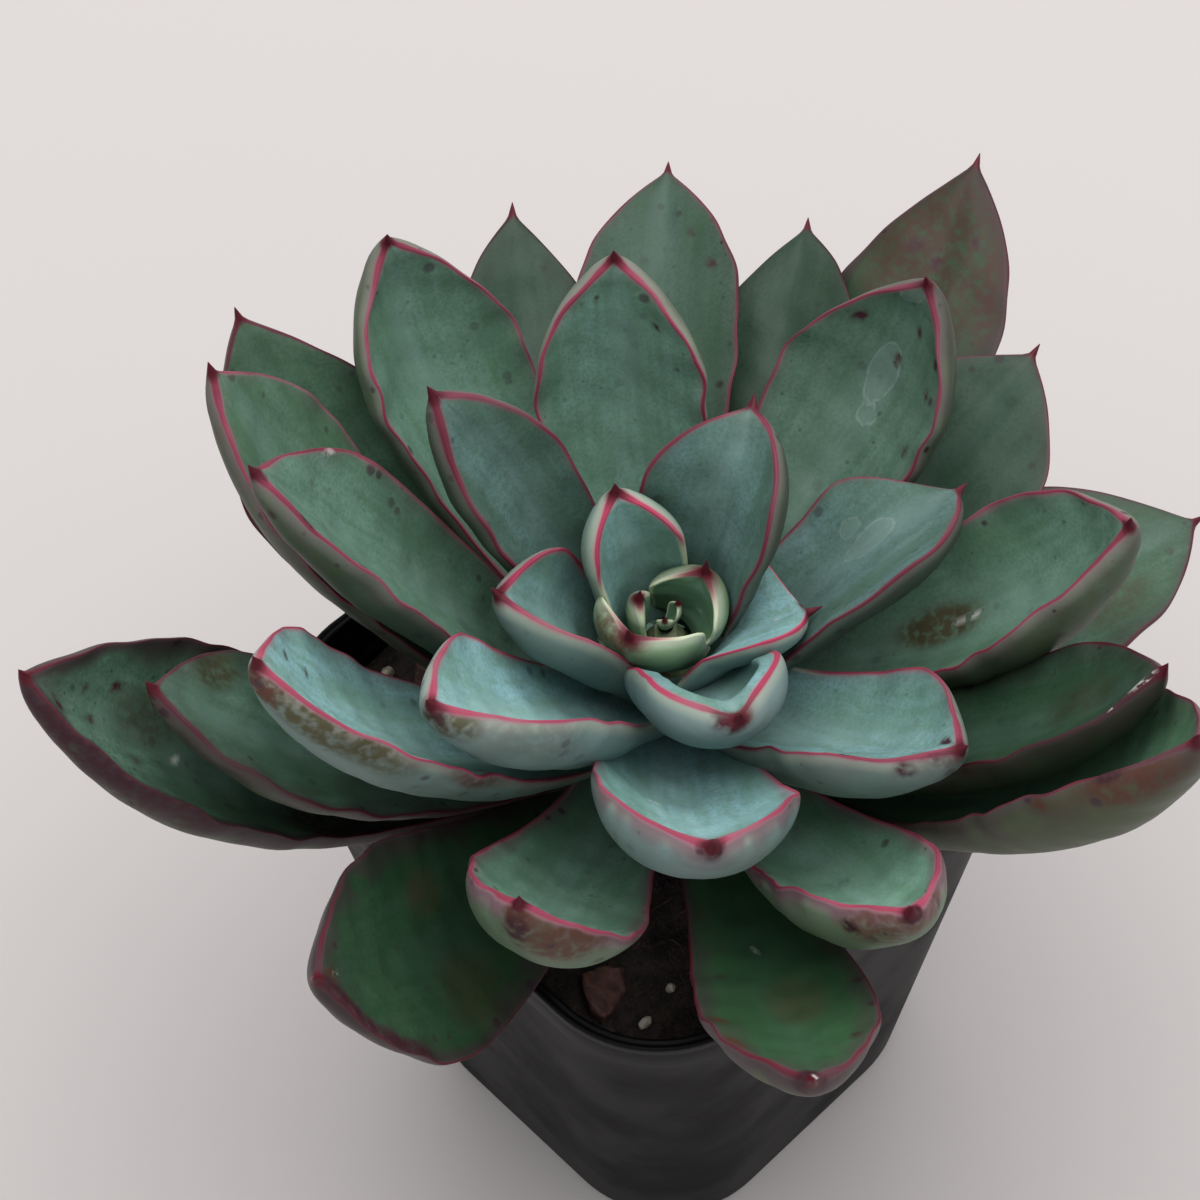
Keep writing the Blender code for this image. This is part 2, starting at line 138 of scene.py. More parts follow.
HEART = [
    Leaf(179, 0.0074, 0.0022, 87, 92, -2, -9, 40, 1.2),
    Leaf(244, 0.0135, 0.0077, 62, 79, -19, 10, 66, 1.8),
    Leaf(27, 0.0101, 0.0061, 81, 81, 11, 16, 78, 1.5),
    Leaf(198, 0.0068, 0.0030, 64, 53, -34, 17, 5, 1.6),
]
INNER = [
    Leaf(127, 0.022, 0.0072, 79, 78, -19, 0, 80, 1.5),
    Leaf(284, 0.0255, 0.0106, 44, 71, 20, -15, 81, 3.2),
    Leaf(347, 0.0156, 0.0104, 85, 0, 31, -28, 45, 0.9),
    Leaf(197, 0.026, 0.0095, 62, 57, -19, 9, 82, 1.8),
]
MIDDLE = [
    Leaf(48, 0.031, 0.0105, 78, 19, 25, -9, 73, 2.5),
    Leaf(147, 0.0425, 0.0080, 59, 60, 7, -11, 63, 0.7),
    Leaf(317, 0.0405, 0.0118, 5, 54, 16, -20, 66, 0.7),
    Leaf(230, 0.049, 0.0117, 40, 64, -20, 10, 71, 0.7),
    Leaf(8, 0.035, 0.0114, 43, 0, 34, -27, 43, 2.2),
    Leaf(269, 0.0495, 0.0130, 32, 70, 19, -16, 61, 1.5),
]
OUTER = [
    Leaf(97, 0.0485, 0.0113, 12, 86, -4, -8, 60, 0.8),
    Leaf(136, 0.0585, 0.0127, 24, 92, -34, 20, 62, 2.6),
    Leaf(46, 0.052, 0.0132, 20, 92, 5, -9, 63, 3.2),
    Leaf(179, 0.0625, 0.0112, 41, 66, 2, 11, 54, 0.7),
    Leaf(216, 0.0695, 0.0131, 29, 76, -26, 18, 46, 1.0),
    Leaf(5, 0.059, 0.0131, 10, 85, -20, -5, 75, 1.7),
    Leaf(247, 0.0605, 0.0106, 17, 87, 9, -12, 41, 1.5),
    Leaf(301, 0.0555, 0.0106, 0, 73, -9, -9, 67, 1.0),
    Leaf(89, 0.0605, 0.0108, 23, 0, -6, -6, 46, 0.9),
    Leaf(32, 0.0515, 0.0131, 19, 20, 17, 3, 27, 1.5),
    Leaf(172, 0.0685, 0.0125, 32, 69, -34, 26, 29, 0.9),
]
LOWEST = [
    Leaf(332, 0.0645, 0.0112, 23, 69, 22, -22, 51, 1.6),
    Leaf(205, 0.0675, 0.0122, 27, 64, -23, 14, 25, 1.5),
    Leaf(66, 0.055, 0.0100, 20, 6, 14, -18, 30, 1.5),
    Leaf(154, 0.0635, 0.0117, 15, 59, -33, -7, 31, 1.0),
    Leaf(112, 0.0575, 0.0097, 13, 21, -23, 12, 36, 1.5),
    Leaf(332, 0.081, 0.0140, 1, 81, -17, -12, 67, 0.9),
    Leaf(8, 0.058, 0.0130, 18, 0, 22, -1, 35, 1.1),
    Leaf(231, 0.073, 0.0129, 8, 65, 8, -41, 27, 0.9),
    Leaf(285, 0.0675, 0.0100, 5, 61, -13, -5, 32, 1.0),
    Leaf(198, 0.0845, 0.0140, 8, 72, -10, -9, 72, 1.0),
    Leaf(51, 0.0695, 0.0117, 18, 15, 17, -14, 7, 3.2),
]


class Ring(NamedTuple):
    """Leaves of like age, with their material slot, usual look, waviness and width at the base."""
    name: str
    leaves: list
    slot: str
    look: Look
    wave: float
    base: float


RINGS = [
    Ring("heart", HEART, "leaf_young", Look(0.35, 0.15, 0.0, 0.15, 0.50, 0.90), 0.0, 0.85),
    Ring("inner", INNER, "leaf_young", Look(0.85, 0.15, 0.2, 0.20, 1.0, 0.45), 0.00005, 0.85),
    Ring("middle", MIDDLE, "leaf_grown", Look(0.85, 0.25, 0.5, 0.30, 1.0, 0.25), 0.00015, 0.62),
    Ring("outer", OUTER, "leaf_grown", Look(0.55, 0.30, 0.7, 0.55, 0.8, 0.15), 0.0002, 0.50),
    Ring("lowest", LOWEST, "leaf_old", Look(0.25, 0.75, 0.9, 0.9, 1.0, 0.1), 0.0002, 0.45),
]

# Leaves whose finish differs from their ring's; each last number, the tone, is partly the leaf's own green
# and partly painted light and shade, lighter on leaves that catch more light and darker on shaded ones
SPECIAL_LOOKS = {
    "inner_leaf_1": Look(0.80, 0.10, 0.2, 0.25, 0.7, 0.65),
    "inner_leaf_2": Look(0.96, 0.05, 0.0, 0.05, 0.45, 0.1, 0.78),
    "inner_leaf_3": Look(0.92, 0.15, 0.2, 0.15, 1.0, 0.35, 1.12),
    "inner_leaf_4": Look(0.85, 0.15, 0.2, 0.20, 1.0, 0.35, 0.7),
    "middle_leaf_1": Look(0.75, 0.20, 0.5, 0.50, 1.0, 0.25, 0.58),
    "middle_leaf_2": Look(0.72, 0.20, 0.4, 0.50, 1.0, 0.30, 0.52),
    "middle_leaf_3": Look(0.85, 0.25, 0.6, 0.30, 1.0, 0.25, 0.85),
    "middle_leaf_4": Look(0.97, 0.25, 0.5, 0.20, 1.0, 0.25, 1.15),
    "middle_leaf_5": Look(0.78, 0.25, 0.5, 0.42, 1.0, 0.25, 0.52),
    "middle_leaf_6": Look(0.95, 0.70, 0.5, 0.25, 1.0, 0.25, 1.12),
    "outer_leaf_1": Look(0.62, 0.25, 0.7, 0.45, 0.8, 0.15, 0.98),
    "outer_leaf_2": Look(0.58, 0.25, 0.7, 0.50, 0.8, 0.15, 0.88),
    "outer_leaf_3": Look(0.55, 0.30, 1.0, 0.55, 0.8, 0.15, 0.58),
    "outer_leaf_4": Look(0.55, 0.30, 0.7, 0.55, 0.9, 0.15, 0.80),
    "outer_leaf_5": Look(0.88, 0.40, 0.7, 0.30, 0.9, 0.15, 1.20),
    "outer_leaf_6": Look(0.55, 0.30, 0.9, 0.55, 1.0, 0.15, 0.86),
    "outer_leaf_7": Look(0.60, 0.80, 0.8, 0.40, 0.9, 0.15, 1.12),
    "outer_leaf_8": Look(0.60, 0.80, 0.8, 0.40, 0.9, 0.15, 1.25),
    "outer_leaf_9": Look(0.50, 0.30, 0.9, 0.65, 0.7, 0.15, 0.40),
    "outer_leaf_10": Look(0.35, 0.40, 0.6, 0.80, 0.5, 0.15, 0.38),
    "outer_leaf_11": Look(0.45, 0.35, 0.6, 0.6, 0.7, 0.15, 0.85),
    "lowest_leaf_1": Look(0.24, 0.45, 0.9, 0.90, 0.8, 0.1, 0.50),
    "lowest_leaf_2": Look(0.55, 0.60, 0.8, 0.6, 0.9, 0.1, 0.75),
    "lowest_leaf_3": Look(0.30, 0.25, 0.5, 0.8, 0.4, 0.1, 0.34),
    "lowest_leaf_4": Look(0.35, 0.30, 0.5, 0.7, 0.6, 0.1, 0.8),
    "lowest_leaf_5": Look(0.35, 0.30, 0.5, 0.8, 0.4, 0.1, 0.36),
    "lowest_leaf_6": Look(0.25, 0.50, 0.9, 0.75, 0.8, 0.1, 1.05),
    "lowest_leaf_7": Look(0.35, 0.50, 0.5, 0.8, 0.7, 0.1, 0.7),
    "lowest_leaf_8": Look(0.12, 0.95, 0.8, 1.0, 0.6, 0.1, 0.72),
    "lowest_leaf_9": Look(0.08, 0.70, 0.8, 0.9, 0.8, 0.1, 1.0),
    "lowest_leaf_10": Look(0.50, 1.15, 1.3, 0.80, 0.5, 0.1, 0.74),
    "lowest_leaf_11": Look(0.14, 1.0, 1.0, 0.85, 0.8, 0.1, 0.55),
}

# The foot leaf's upper face swells up along its rim
LIP_INSET = 0.0015
LIP_SPREAD = 0.0011
LIP_RISES = {"inner_leaf_2": 0.0016}

# How blunt a leaf's outline is at its point
TIP_ARCH = 2.0
TIP_ARCHES = {"inner_leaf_2": 3.6}

# What a leaf's mesh tells its material, besides its look and its marks
SHAPE_FACTS = ("share", "across", "rim", "to_tip", "mucro", "tipward", "upper")
MARK_KINDS = ("dark", "scuff", "white", "olive", "brown")
MILLIMETRE = 0.001

# Spots, scars and stains: share along, place across, half length and half width in mm, and strength
MARKS = {
    "heart_leaf_2": {"brown below": [(0.9, -0.55, 2.2, 2.2, 0.6)]},
    "heart_leaf_3": {"white": [(0.38, -0.08, 0.4, 0.3, 0.59)]},
    "inner_leaf_2": {"dark below": [(1.0, -0.4, 1.0, 1.3, 0.8)]},
    "inner_leaf_3": {
        "white": [(0.78, -0.08, 0.3, 0.3, 0.39)],
        "dark": [(1.0, 0.45, 0.7, 0.7, 0.8)],
    },
    "middle_leaf_3": {
        "dark": [(0.95, 0.16, 0.9, 0.8, 0.9), (0.8, -0.97, 0.7, 0.7, 0.9)],
        "dark below": [(0.99, -0.99, 1.8, 1.4, 0.45), (0.91, -0.85, 0.6, 0.6, 0.7)],
    },
    "middle_leaf_4": {
        "scuff": [(0.14, -0.08, 1.6, 1.2, 0.91)],
        "olive below": [(0.8, 0.81, 6.0, 2.0, 0.25), (0.98, 0.59, 3.0, 2.0, 0.7)],
        "dark below": [(0.98, 0.38, 0.7, 0.7, 0.6)],
    },
    # middle_leaf_5's scuffs are a painted highlight: the soft broad sheen across its face
    "middle_leaf_5": {"scuff": [(0.68, 0.16, 3.2, 1.2, 0.8), (0.64, 0.45, 1.2, 0.9, 0.71)]},
    "middle_leaf_6": {
        "dark below": [(1.0, 0.0, 0.9, 1.1, 0.9)],
        "dark": [(1.0, 1.0, 1.0, 1.0, 0.8)],
        "white": [(0.49, -0.31, 0.6, 0.6, 0.52)],
    },
    "outer_leaf_1": {"dark": [(0.9, 0.45, 0.4, 0.4, 0.8), (0.82, -0.59, 0.4, 0.4, 0.8)]},
    "outer_leaf_3": {
        "scuff": [(0.74, 0.08, 3.5, 1.8, 0.6), (0.97, 0.38, 1.6, 1.2, 0.6),
                  (0.63, 0.0, 1.4, 1.0, 0.51)],
        "dark": [(0.84, 0.71, 0.8, 0.7, 0.9), (0.78, 0.0, 0.7, 0.7, 0.9), (0.88, -0.23, 0.6, 0.6, 0.8),
                 (0.77, -0.65, 0.6, 0.6, 0.8), (0.62, -0.71, 0.7, 0.6, 0.8)],
    },
    "outer_leaf_4": {
        "dark": [(1.0, 1.0, 0.7, 0.7, 0.9), (1.0, 1.0, 0.6, 0.6, 0.9), (0.91, 1.0, 0.7, 0.7, 0.8)],
        "white": [(0.81, -0.95, 0.8, 0.4, 0.39)],
    },
    "outer_leaf_5": {
        "brown below": [(0.98, 0.31, 2.5, 1.6, 0.9), (0.57, 0.97, 5.0, 1.2, 0.6)],
        "olive below": [(0.88, 0.85, 9.0, 2.2, 0.75)],
        "dark": [(0.85, -0.65, 0.7, 0.6, 0.9), (0.77, -0.52, 0.6, 0.6, 0.8)],
    },
    "outer_leaf_6": {
        "olive": [(0.44, 0.08, 5.0, 2.6, 0.8)],
        "white": [(0.51, 0.08, 1.3, 0.4, 0.52), (0.48, 0.08, 0.7, 0.4, 0.39)],
        "dark": [(1.0, 1.0, 0.8, 0.8, 0.8)],
    },
    "outer_leaf_7": {
        "brown below": [(0.99, 0.23, 2.6, 1.1, 1.0), (0.88, 0.76, 4.0, 3.5, 0.7)],
        "dark below": [(0.95, 0.08, 1.8, 0.8, 0.8)],
        "olive below": [(0.91, 0.76, 4.0, 3.0, 0.7)],
        "dark": [(1.0, 1.0, 0.7, 0.9, 0.9)],
    },
    "outer_leaf_8": {
        "dark below": [(1.0, 0.52, 0.9, 0.9, 1.0), (0.88, -0.71, 0.7, 0.7, 0.9)],
        "brown below": [(0.94, -0.59, 4.0, 2.5, 0.6), (0.94, 0.89, 2.0, 1.2, 0.6)],
        "dark": [(1.0, 1.0, 0.8, 1.0, 0.8)],
    },
    "outer_leaf_9": {"dark": [(0.76, -0.71, 0.6, 0.6, 0.8), (0.84, -0.52, 0.4, 0.4, 0.8)]},
    "lowest_leaf_1": {
        "brown below": [(0.63, -0.97, 0.9, 0.7, 0.9)],
        "scuff": [(0.74, -0.95, 1.0, 0.8, 0.8)],
        "white": [(0.97, -0.76, 1.4, 0.5, 0.52), (0.93, -1.0, 0.6, 0.5, 0.52)],
        "dark": [(1.0, -0.52, 0.9, 0.9, 0.9)],
        "olive": [(0.77, 0.23, 5.0, 2.5, 0.4)],
    },
    "lowest_leaf_2": {
        "olive": [(0.82, -0.76, 4.0, 2.6, 0.7)],
        "brown below": [(0.99, 0.99, 2.0, 1.0, 0.5)],
    },
    "lowest_leaf_6": {
        "brown below": [(0.91, -0.81, 5.0, 2.2, 0.75), (0.77, -0.95, 1.0, 0.8, 0.9)],
        "olive below": [(0.81, -0.99, 4.0, 2.0, 0.5)],
        "dark below": [(0.89, -1.0, 1.5, 0.6, 0.7)],
    },
    "lowest_leaf_7": {
        "scuff": [(0.78, 0.08, 4.0, 2.0, 0.35)],
        "olive": [(0.77, -0.52, 4.0, 2.4, 0.5)],
    },
    "lowest_leaf_8": {
        "dark": [(0.94, 1.0, 5.0, 1.6, 0.8), (0.83, 0.95, 4.0, 1.3, 0.8)],
        "brown": [(0.97, 0.0, 1.4, 1.0, 0.7)],
        "white": [(0.95, -0.08, 0.5, 0.4, 0.45)],
        "olive": [(0.57, -0.45, 3.5, 2.2, 0.6), (0.56, 0.52, 5.0, 4.0, 0.4)],
    },
    "lowest_leaf_9": {
        "dark": [(1.0, -1.0, 1.6, 2.2, 0.95), (0.81, 0.76, 0.8, 0.7, 0.6)],
        "dark below": [(0.99, -0.08, 1.6, 2.0, 0.9)],
        "white": [(1.0, 0.81, 0.4, 0.4, 0.59), (0.43, -0.08, 0.4, 0.4, 0.59)],
        "brown": [(0.81, -0.97, 2.0, 1.2, 0.8), (0.7, -0.85, 1.4, 0.9, 0.7)],
        "olive": [(0.62, 0.16, 5.0, 3.0, 0.5)],
    },
    "lowest_leaf_10": {
        "dark below": [(0.81, 0.92, 9.0, 3.5, 0.7), (0.9, 0.92, 8.0, 3.0, 0.8)],
        "dark": [(0.86, 0.05, 0.7, 0.6, 0.7), (0.78, 0.3, 0.8, 0.6, 0.7), (0.88, -0.35, 0.6, 0.5, 0.7),
                 (0.94, 0.31, 1.0, 1.0, 0.8), (0.46, 0.65, 6.0, 5.0, 0.6),
                 (0.82, -0.45, 0.8, 0.7, 0.8)],
        "white": [(0.69, 0.08, 0.4, 0.4, 0.59)],
        "olive": [(0.75, -0.23, 5.0, 3.0, 0.5)],
    },
    "lowest_leaf_11": {
        "brown": [(0.8, -0.15, 14.0, 8.0, 0.55), (0.78, -0.81, 6.0, 2.0, 0.7)],
        "olive": [(0.82, 0.52, 6.0, 4.0, 0.7)],
        "dark": [(0.83, 0.38, 0.8, 0.8, 0.9), (0.81, 0.0, 0.7, 0.7, 0.9), (0.86, -0.52, 0.8, 0.5, 0.8),
                 (0.75, -0.23, 0.8, 0.7, 0.8)],
    },
}


# Small helpers

def interpolate(values, steps, column=1):
    """Reads rows of (value, ...) in straight lines between them."""
    return np.interp(values, [row[0] for row in steps], [row[column] for row in steps])


def around(angle, radius, z=0.0):
    """A point at an angle in radians and a distance from the Z axis."""
    return Vector((radius * math.cos(angle), radius * math.sin(angle), z))


def plant_centre():
    """The stem's axis stands a little to the plant's own right of the pot's middle."""
    return around(math.radians(PLANT_TURN), PLANT_SHIFT)


def smooth_step(values):
    """Eases values from 0 to 1, held at both ends."""
    held = np.clip(values, 0.0, 1.0)
    return held * held * (3.0 - 2.0 * held)


def make_mesh(name, points, faces, smooth_below=60.0):
    """A named object from points and faces, smooth but for edges sharper than an angle."""
    mesh = bpy.data.meshes.new(name)
    mesh.from_pydata([tuple(p) for p in points], [], faces)
    mesh.validate()
    mesh.shade_smooth()
    mesh.set_sharp_from_angle(angle=math.radians(smooth_below))
    made = bpy.data.objects.new(name, mesh)
    bpy.context.scene.collection.objects.link(made)
    return made


def mesh_from(bm, name, smooth_below=60.0):
    """A named object from a bmesh, which is then freed."""
    points = [tuple(v.co) for v in bm.verts]
    faces = [[v.index for v in f.verts] for f in bm.faces]
    bm.free()
    return make_mesh(name, points, faces, smooth_below)


def join_piece(piece, slot, material, *nodes):
    """Puts a finished piece on the plant in place of the nodes that it stands for."""
    piece.data.materials.clear()
    piece.data.materials.append(material)
    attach(piece, BODY)
    if nodes:
        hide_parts(*nodes)
    return piece


def skin_faces(rings, size):
    """Quads between rings of points, with a face closing each end."""
    faces = []
    for k in range(rings - 1):
        for i in range(size):
            j = (i + 1) % size
            faces.append((k * size + i, k * size + j, (k + 1) * size + j, (k + 1) * size + i))
    faces.append(tuple(range(size))[::-1])
    faces.append(tuple((rings - 1) * size + i for i in range(size)))
    return faces


# Node helpers

def put(tree, kind, inputs=None, **settings):
    """Adds a node with its settings, and fills its inputs with values or links."""
    node = tree.nodes.new(kind)
    for key, value in settings.items():
        setattr(node, key, value)
    for key, value in (inputs or {}).items():
        feed(tree, node.inputs[key], value)
    return node


def feed(tree, socket, value):
    """Links a socket to another one, or gives it a value."""
    if isinstance(value, bpy.types.NodeSocket):
        tree.links.new(value, socket)
    elif isinstance(value, tuple) and len(value) == 3 and socket.type == "RGBA":
        socket.default_value = (*value, 1.0)
    else:
        socket.default_value = value


def color_mix(tree, share, first, second, blend="MIX"):
    """Mixes two colours, by their RGBA sockets."""
    node = tree.nodes.new("ShaderNodeMix")
    node.data_type = "RGBA"
    node.blend_type = blend
    feed(tree, node.inputs[0], share)
    feed(tree, node.inputs[6], first)
    feed(tree, node.inputs[7], second)
    return node.outputs[2]


def calc(tree, operation, first, second=0.0, clamp=False):
    """One step of arithmetic."""
    node = put(tree, "ShaderNodeMath", operation=operation, use_clamp=clamp)
    feed(tree, node.inputs[0], first)
    feed(tree, node.inputs[1], second)
    return node.outputs[0]


def times(tree, *values, clamp=False):
    """The product of two or more values."""
    total = values[0]
    for value in values[1:-1]:
        total = calc(tree, "MULTIPLY", total, value)
    return calc(tree, "MULTIPLY", total, values[-1], clamp)


def remap(tree, value, low, high, out_low=0.0, out_high=1.0):
    """Eases a value between two limits."""
    node = put(tree, "ShaderNodeMapRange", interpolation_type="SMOOTHSTEP")
    feed(tree, node.inputs["Value"], value)
    feed(tree, node.inputs["From Min"], low)
    feed(tree, node.inputs["From Max"], high)
    feed(tree, node.inputs["To Min"], out_low)
    feed(tree, node.inputs["To Max"], out_high)
    return node.outputs["Result"]


def read(tree, name):
    """A number kept at each point of the mesh."""
    return put(tree, "ShaderNodeAttribute", attribute_name=name).outputs["Fac"]


def read_vector(tree, name):
    """A vector kept at each point of the mesh."""
    return put(tree, "ShaderNodeAttribute", attribute_name=name).outputs["Vector"]


def cloud(tree, place, scale, detail):
    """Plain noise, 0 to 1."""
    noise = put(tree, "ShaderNodeTexNoise", {"Vector": place, "Scale": scale, "Detail": detail})
    return noise.outputs["Fac"]


def new_group(name, inputs, outputs):
    """An empty shader node group with named sockets, each given as (name, kind, value)."""
    group = bpy.data.node_groups.new(name, "ShaderNodeTree")
    for label, kind, value in inputs:
        socket = group.interface.new_socket(name=label, in_out="INPUT", socket_type="NodeSocket" + kind)
        if value is not None:
            socket.default_value = value
    for label, kind in outputs:
        group.interface.new_socket(name=label, in_out="OUTPUT", socket_type="NodeSocket" + kind)
    return group, group.nodes.new("NodeGroupInput"), group.nodes.new("NodeGroupOutput")


def patches_group():
    """Soft uneven patches: noise, eased between two limits."""
    sockets = [("Place", "Vector", None), ("Scale", "Float", 100.0), ("Detail", "Float", 3.0),
               ("Low", "Float", 0.4), ("High", "Float", 0.6)]
    group, given, out = new_group("patches", sockets, [("Mask", "Float")])
    haze = cloud(group, given.outputs["Place"], given.outputs["Scale"], given.outputs["Detail"])
    eased = remap(group, haze, given.outputs["Low"], given.outputs["High"])
    group.links.new(eased, out.inputs["Mask"])
    return group


def dots_group():
    """Round dots of uneven size: a share of the cells each hold one."""
    sockets = [("Place", "Vector", None), ("Scale", "Float", 300.0), ("Size", "Float", 0.3),
               ("Share", "Float", 0.3)]
    group, given, out = new_group("dots", sockets, [("Mask", "Float")])
    cells = put(group, "ShaderNodeTexVoronoi", {
        "Vector": given.outputs["Place"],
        "Scale": given.outputs["Scale"],
    })
    split = put(group, "ShaderNodeSeparateColor", {"Color": cells.outputs["Color"]})
    reach = times(group, split.outputs["Green"], given.outputs["Size"])
    disc = remap(group, cells.outputs["Distance"], reach, times(group, reach, 0.5))
    chosen = calc(group, "LESS_THAN", split.outputs["Red"], given.outputs["Share"])
    group.links.new(times(group, disc, chosen), out.inputs["Mask"])
    return group


PATCHES = patches_group()
DOTS = dots_group()


def patches(tree, place, scale, low, high, detail=3.0):
    """Places the patches group."""
    values = {"Place": place, "Scale": scale, "Detail": detail, "Low": low, "High": high}
    return put(tree, "ShaderNodeGroup", values, node_tree=PATCHES).outputs["Mask"]


def dots(tree, place, scale, size, share):
    """Places the dots group."""
    values = {"Place": place, "Scale": scale, "Size": size, "Share": share}
    return put(tree, "ShaderNodeGroup", values, node_tree=DOTS).outputs["Mask"]


def new_material(name):
    """A material, its node tree and its shader."""
    material = bpy.data.materials.new(name)
    material.use_nodes = True
    return material, material.node_tree, material.node_tree.nodes["Principled BSDF"]


def object_place(tree):
    """Places in the part's own frame."""
    return put(tree, "ShaderNodeTexCoord").outputs["Object"]


def finish(tree, shader, color, roughness):
    """Gives the shader its colour and its roughness."""
    feed(tree, shader.inputs["Base Color"], color)
    feed(tree, shader.inputs["Roughness"], roughness)


def add_bump(tree, shader, height, strength, distance):
    """Feeds a height to the shader's normal."""
    node = put(tree, "ShaderNodeBump", {"Strength": strength, "Distance": distance, "Height": height})
    tree.links.new(node.outputs["Normal"], shader.inputs["Normal"])


# Leaf finish

GREEN_DEEP = (0.016, 0.055, 0.018)
GREEN_PLAIN = (0.085, 0.180, 0.090)
BLOOM_OLD = (0.170, 0.285, 0.220)
BLOOM_YOUNG = (0.182, 0.318, 0.345)
# Paler streak along a face's middle: partly bloom, partly painted highlight along the channel
MIDDLE_BLOOM_AND_HIGHLIGHT = (0.300, 0.440, 0.440)
UNDER_GREEN = (0.150, 0.235, 0.130)
UNDER_YOUNG = (0.165, 0.215, 0.203)
UNDER_OLD = (0.056, 0.068, 0.034)
# Pale lip along the underside's edge: partly the paler margin, partly painted highlight on the lit rounded
# edge
PALE_LIP_AND_HIGHLIGHT = (0.340, 0.385, 0.300)
MARGIN_CREAM = (0.500, 0.560, 0.380)
MARGIN_DARK = (0.110, 0.014, 0.024)
MUCRO_COLOR = (0.070, 0.007, 0.013)
DARK_SPOT = (0.034, 0.011, 0.016)
PIT_COLOR = (0.022, 0.048, 0.036)
DOT_COLOR = (0.040, 0.020, 0.030)
OLIVE = (0.060, 0.056, 0.028)
BROWN = (0.075, 0.032, 0.022)
WHITE = (0.600, 0.600, 0.560)
# Colour of scuffed bloom, and of the painted highlight where a sheen is marked as a scuff
FILM_AND_SHEEN_COLOR = (0.270, 0.380, 0.340)

# How fine each noise is, in swells a metre
BROAD_SCALE = 130.0
WANDER_SCALE = 420.0
RAGGED_SCALE = 900.0
SPECK_SCALE = 2600.0
FIBRE_SCALE = 700.0

# Pits and dots: cells a metre, size and share of the cells that hold one
PITS = (760.0, 0.30, 0.34)
SPOTS = (440.0, 0.42, 0.42)


class Edge(NamedTuple):
    """A leaf's coloured edge: the red line's width, colour and faded colour, and the blush inside it."""
    width: float
    color: tuple
    faded: tuple
    blush: tuple
    blush_width: float
    blush_length: float


YOUNG_EDGE = Edge(0.00043, (0.335, 0.036, 0.082), (0.340, 0.150, 0.180),
                  (0.160, 0.075, 0.095), 0.0012, 0.0020)
GROWN_EDGE = Edge(0.00033, (0.245, 0.042, 0.074), (0.230, 0.105, 0.130),
                  (0.120, 0.066, 0.082), 0.0026, 0.0045)
OLD_EDGE = Edge(0.00034, (0.080, 0.024, 0.034), (0.085, 0.050, 0.056),
                (0.050, 0.030, 0.036), 0.0045, 0.0100)


def read_leaf(tree):
    """What is known at each point of a leaf, and the noises that break up its colours."""
    at = SimpleNamespace(**{name: read(tree, name) for name in SHAPE_FACTS + MARK_KINDS + Look._fields})
    flow = read_vector(tree, "flow")
    combed = put(tree, "ShaderNodeMapping", {"Vector": flow, "Scale": (1.0, 0.3, 1.0)}).outputs["Vector"]
    at.place = object_place(tree)
    at.broad = cloud(tree, flow, BROAD_SCALE, 2.0)
    at.wander = cloud(tree, flow, WANDER_SCALE, 1.0)
    at.ragged = cloud(tree, at.place, RAGGED_SCALE, 2.0)
    at.speck = cloud(tree, at.place, SPECK_SCALE, 1.0)
    at.fibres = cloud(tree, combed, FIBRE_SCALE, 1.0)
    at.torn = remap(tree, at.ragged, 0.25, 0.62, 0.35, 1.35)
    return at


def bloom_cover(tree, at):
    """How thickly the waxy bloom lies: hazy in broad patches, rubbed, specked and combed lengthways."""
    haze = remap(tree, at.broad, 0.35, 0.68, 0.55, 1.0)
    rubbed = remap(tree, at.ragged, 0.30, 0.55, 0.80, 1.0)
    specked = remap(tree, at.speck, 0.32, 0.62, 0.72, 1.08)
    combed = remap(tree, at.fibres, 0.34, 0.64, 0.78, 1.10)
    return times(tree, haze, rubbed, specked, combed, at.bloom, clamp=True)


def face_color(tree, at, cover, bloom_color):
    """The upper face: green under the bloom, with a paler streak along the middle, partly bloom and partly
    painted highlight along the channel.
    """
    plain = color_mix(tree, at.depth, GREEN_PLAIN, GREEN_DEEP)
    face = color_mix(tree, cover, plain, bloom_color)
    middle = remap(tree, calc(tree, "ABSOLUTE", at.across), 0.60, 0.0)
    # Paler middle streak: partly bloom, partly painted highlight along the channel
    streak_and_highlight = times(tree, middle, remap(tree, at.broad, 0.62, 0.40), at.bloom, 0.35)
    return color_mix(tree, streak_and_highlight, face, MIDDLE_BLOOM_AND_HIGHLIGHT)


def under_color(tree, at, cover, bloom_color):
    """The underside: pale on young leaves, olive on old ones, with a pale lip along the edge, partly paler
    margin and partly painted highlight on the rounded edge.
    """
    young = color_mix(tree, remap(tree, at.bloom, 0.50, 0.95), UNDER_GREEN, UNDER_YOUNG)
    under = color_mix(tree, remap(tree, at.depth, 0.05, 0.60), young, UNDER_OLD)
    under = color_mix(tree, times(tree, cover, 0.25), under, bloom_color)
    # Pale lip near the rim: partly the paler margin, partly painted highlight
    lip = times(tree, remap(tree, at.rim, 0.0014, 0.0002), remap(tree, at.depth, 0.9, 0.2, 0.0, 0.6))
    return color_mix(tree, lip, under, PALE_LIP_AND_HIGHLIGHT)


def add_blush(tree, at, edge, color):
    """The blush inside the edge and at the tip, stronger underneath."""
    spread = times(tree, remap(tree, at.wander, 0.25, 0.75, 0.35, 1.35), edge.blush_width)
    near_rim = remap(tree, at.rim, spread, 0.0)
    near_tip = times(tree, remap(tree, at.to_tip, edge.blush_length, 0.0), 0.7)
    near = calc(tree, "MAXIMUM", near_rim, near_tip)
    blushed = times(tree, near, at.blush, remap(tree, at.upper, 1.0, 0.0, 0.8, 1.35))
    return color_mix(tree, calc(tree, "MINIMUM", blushed, 0.95), color, edge.blush)


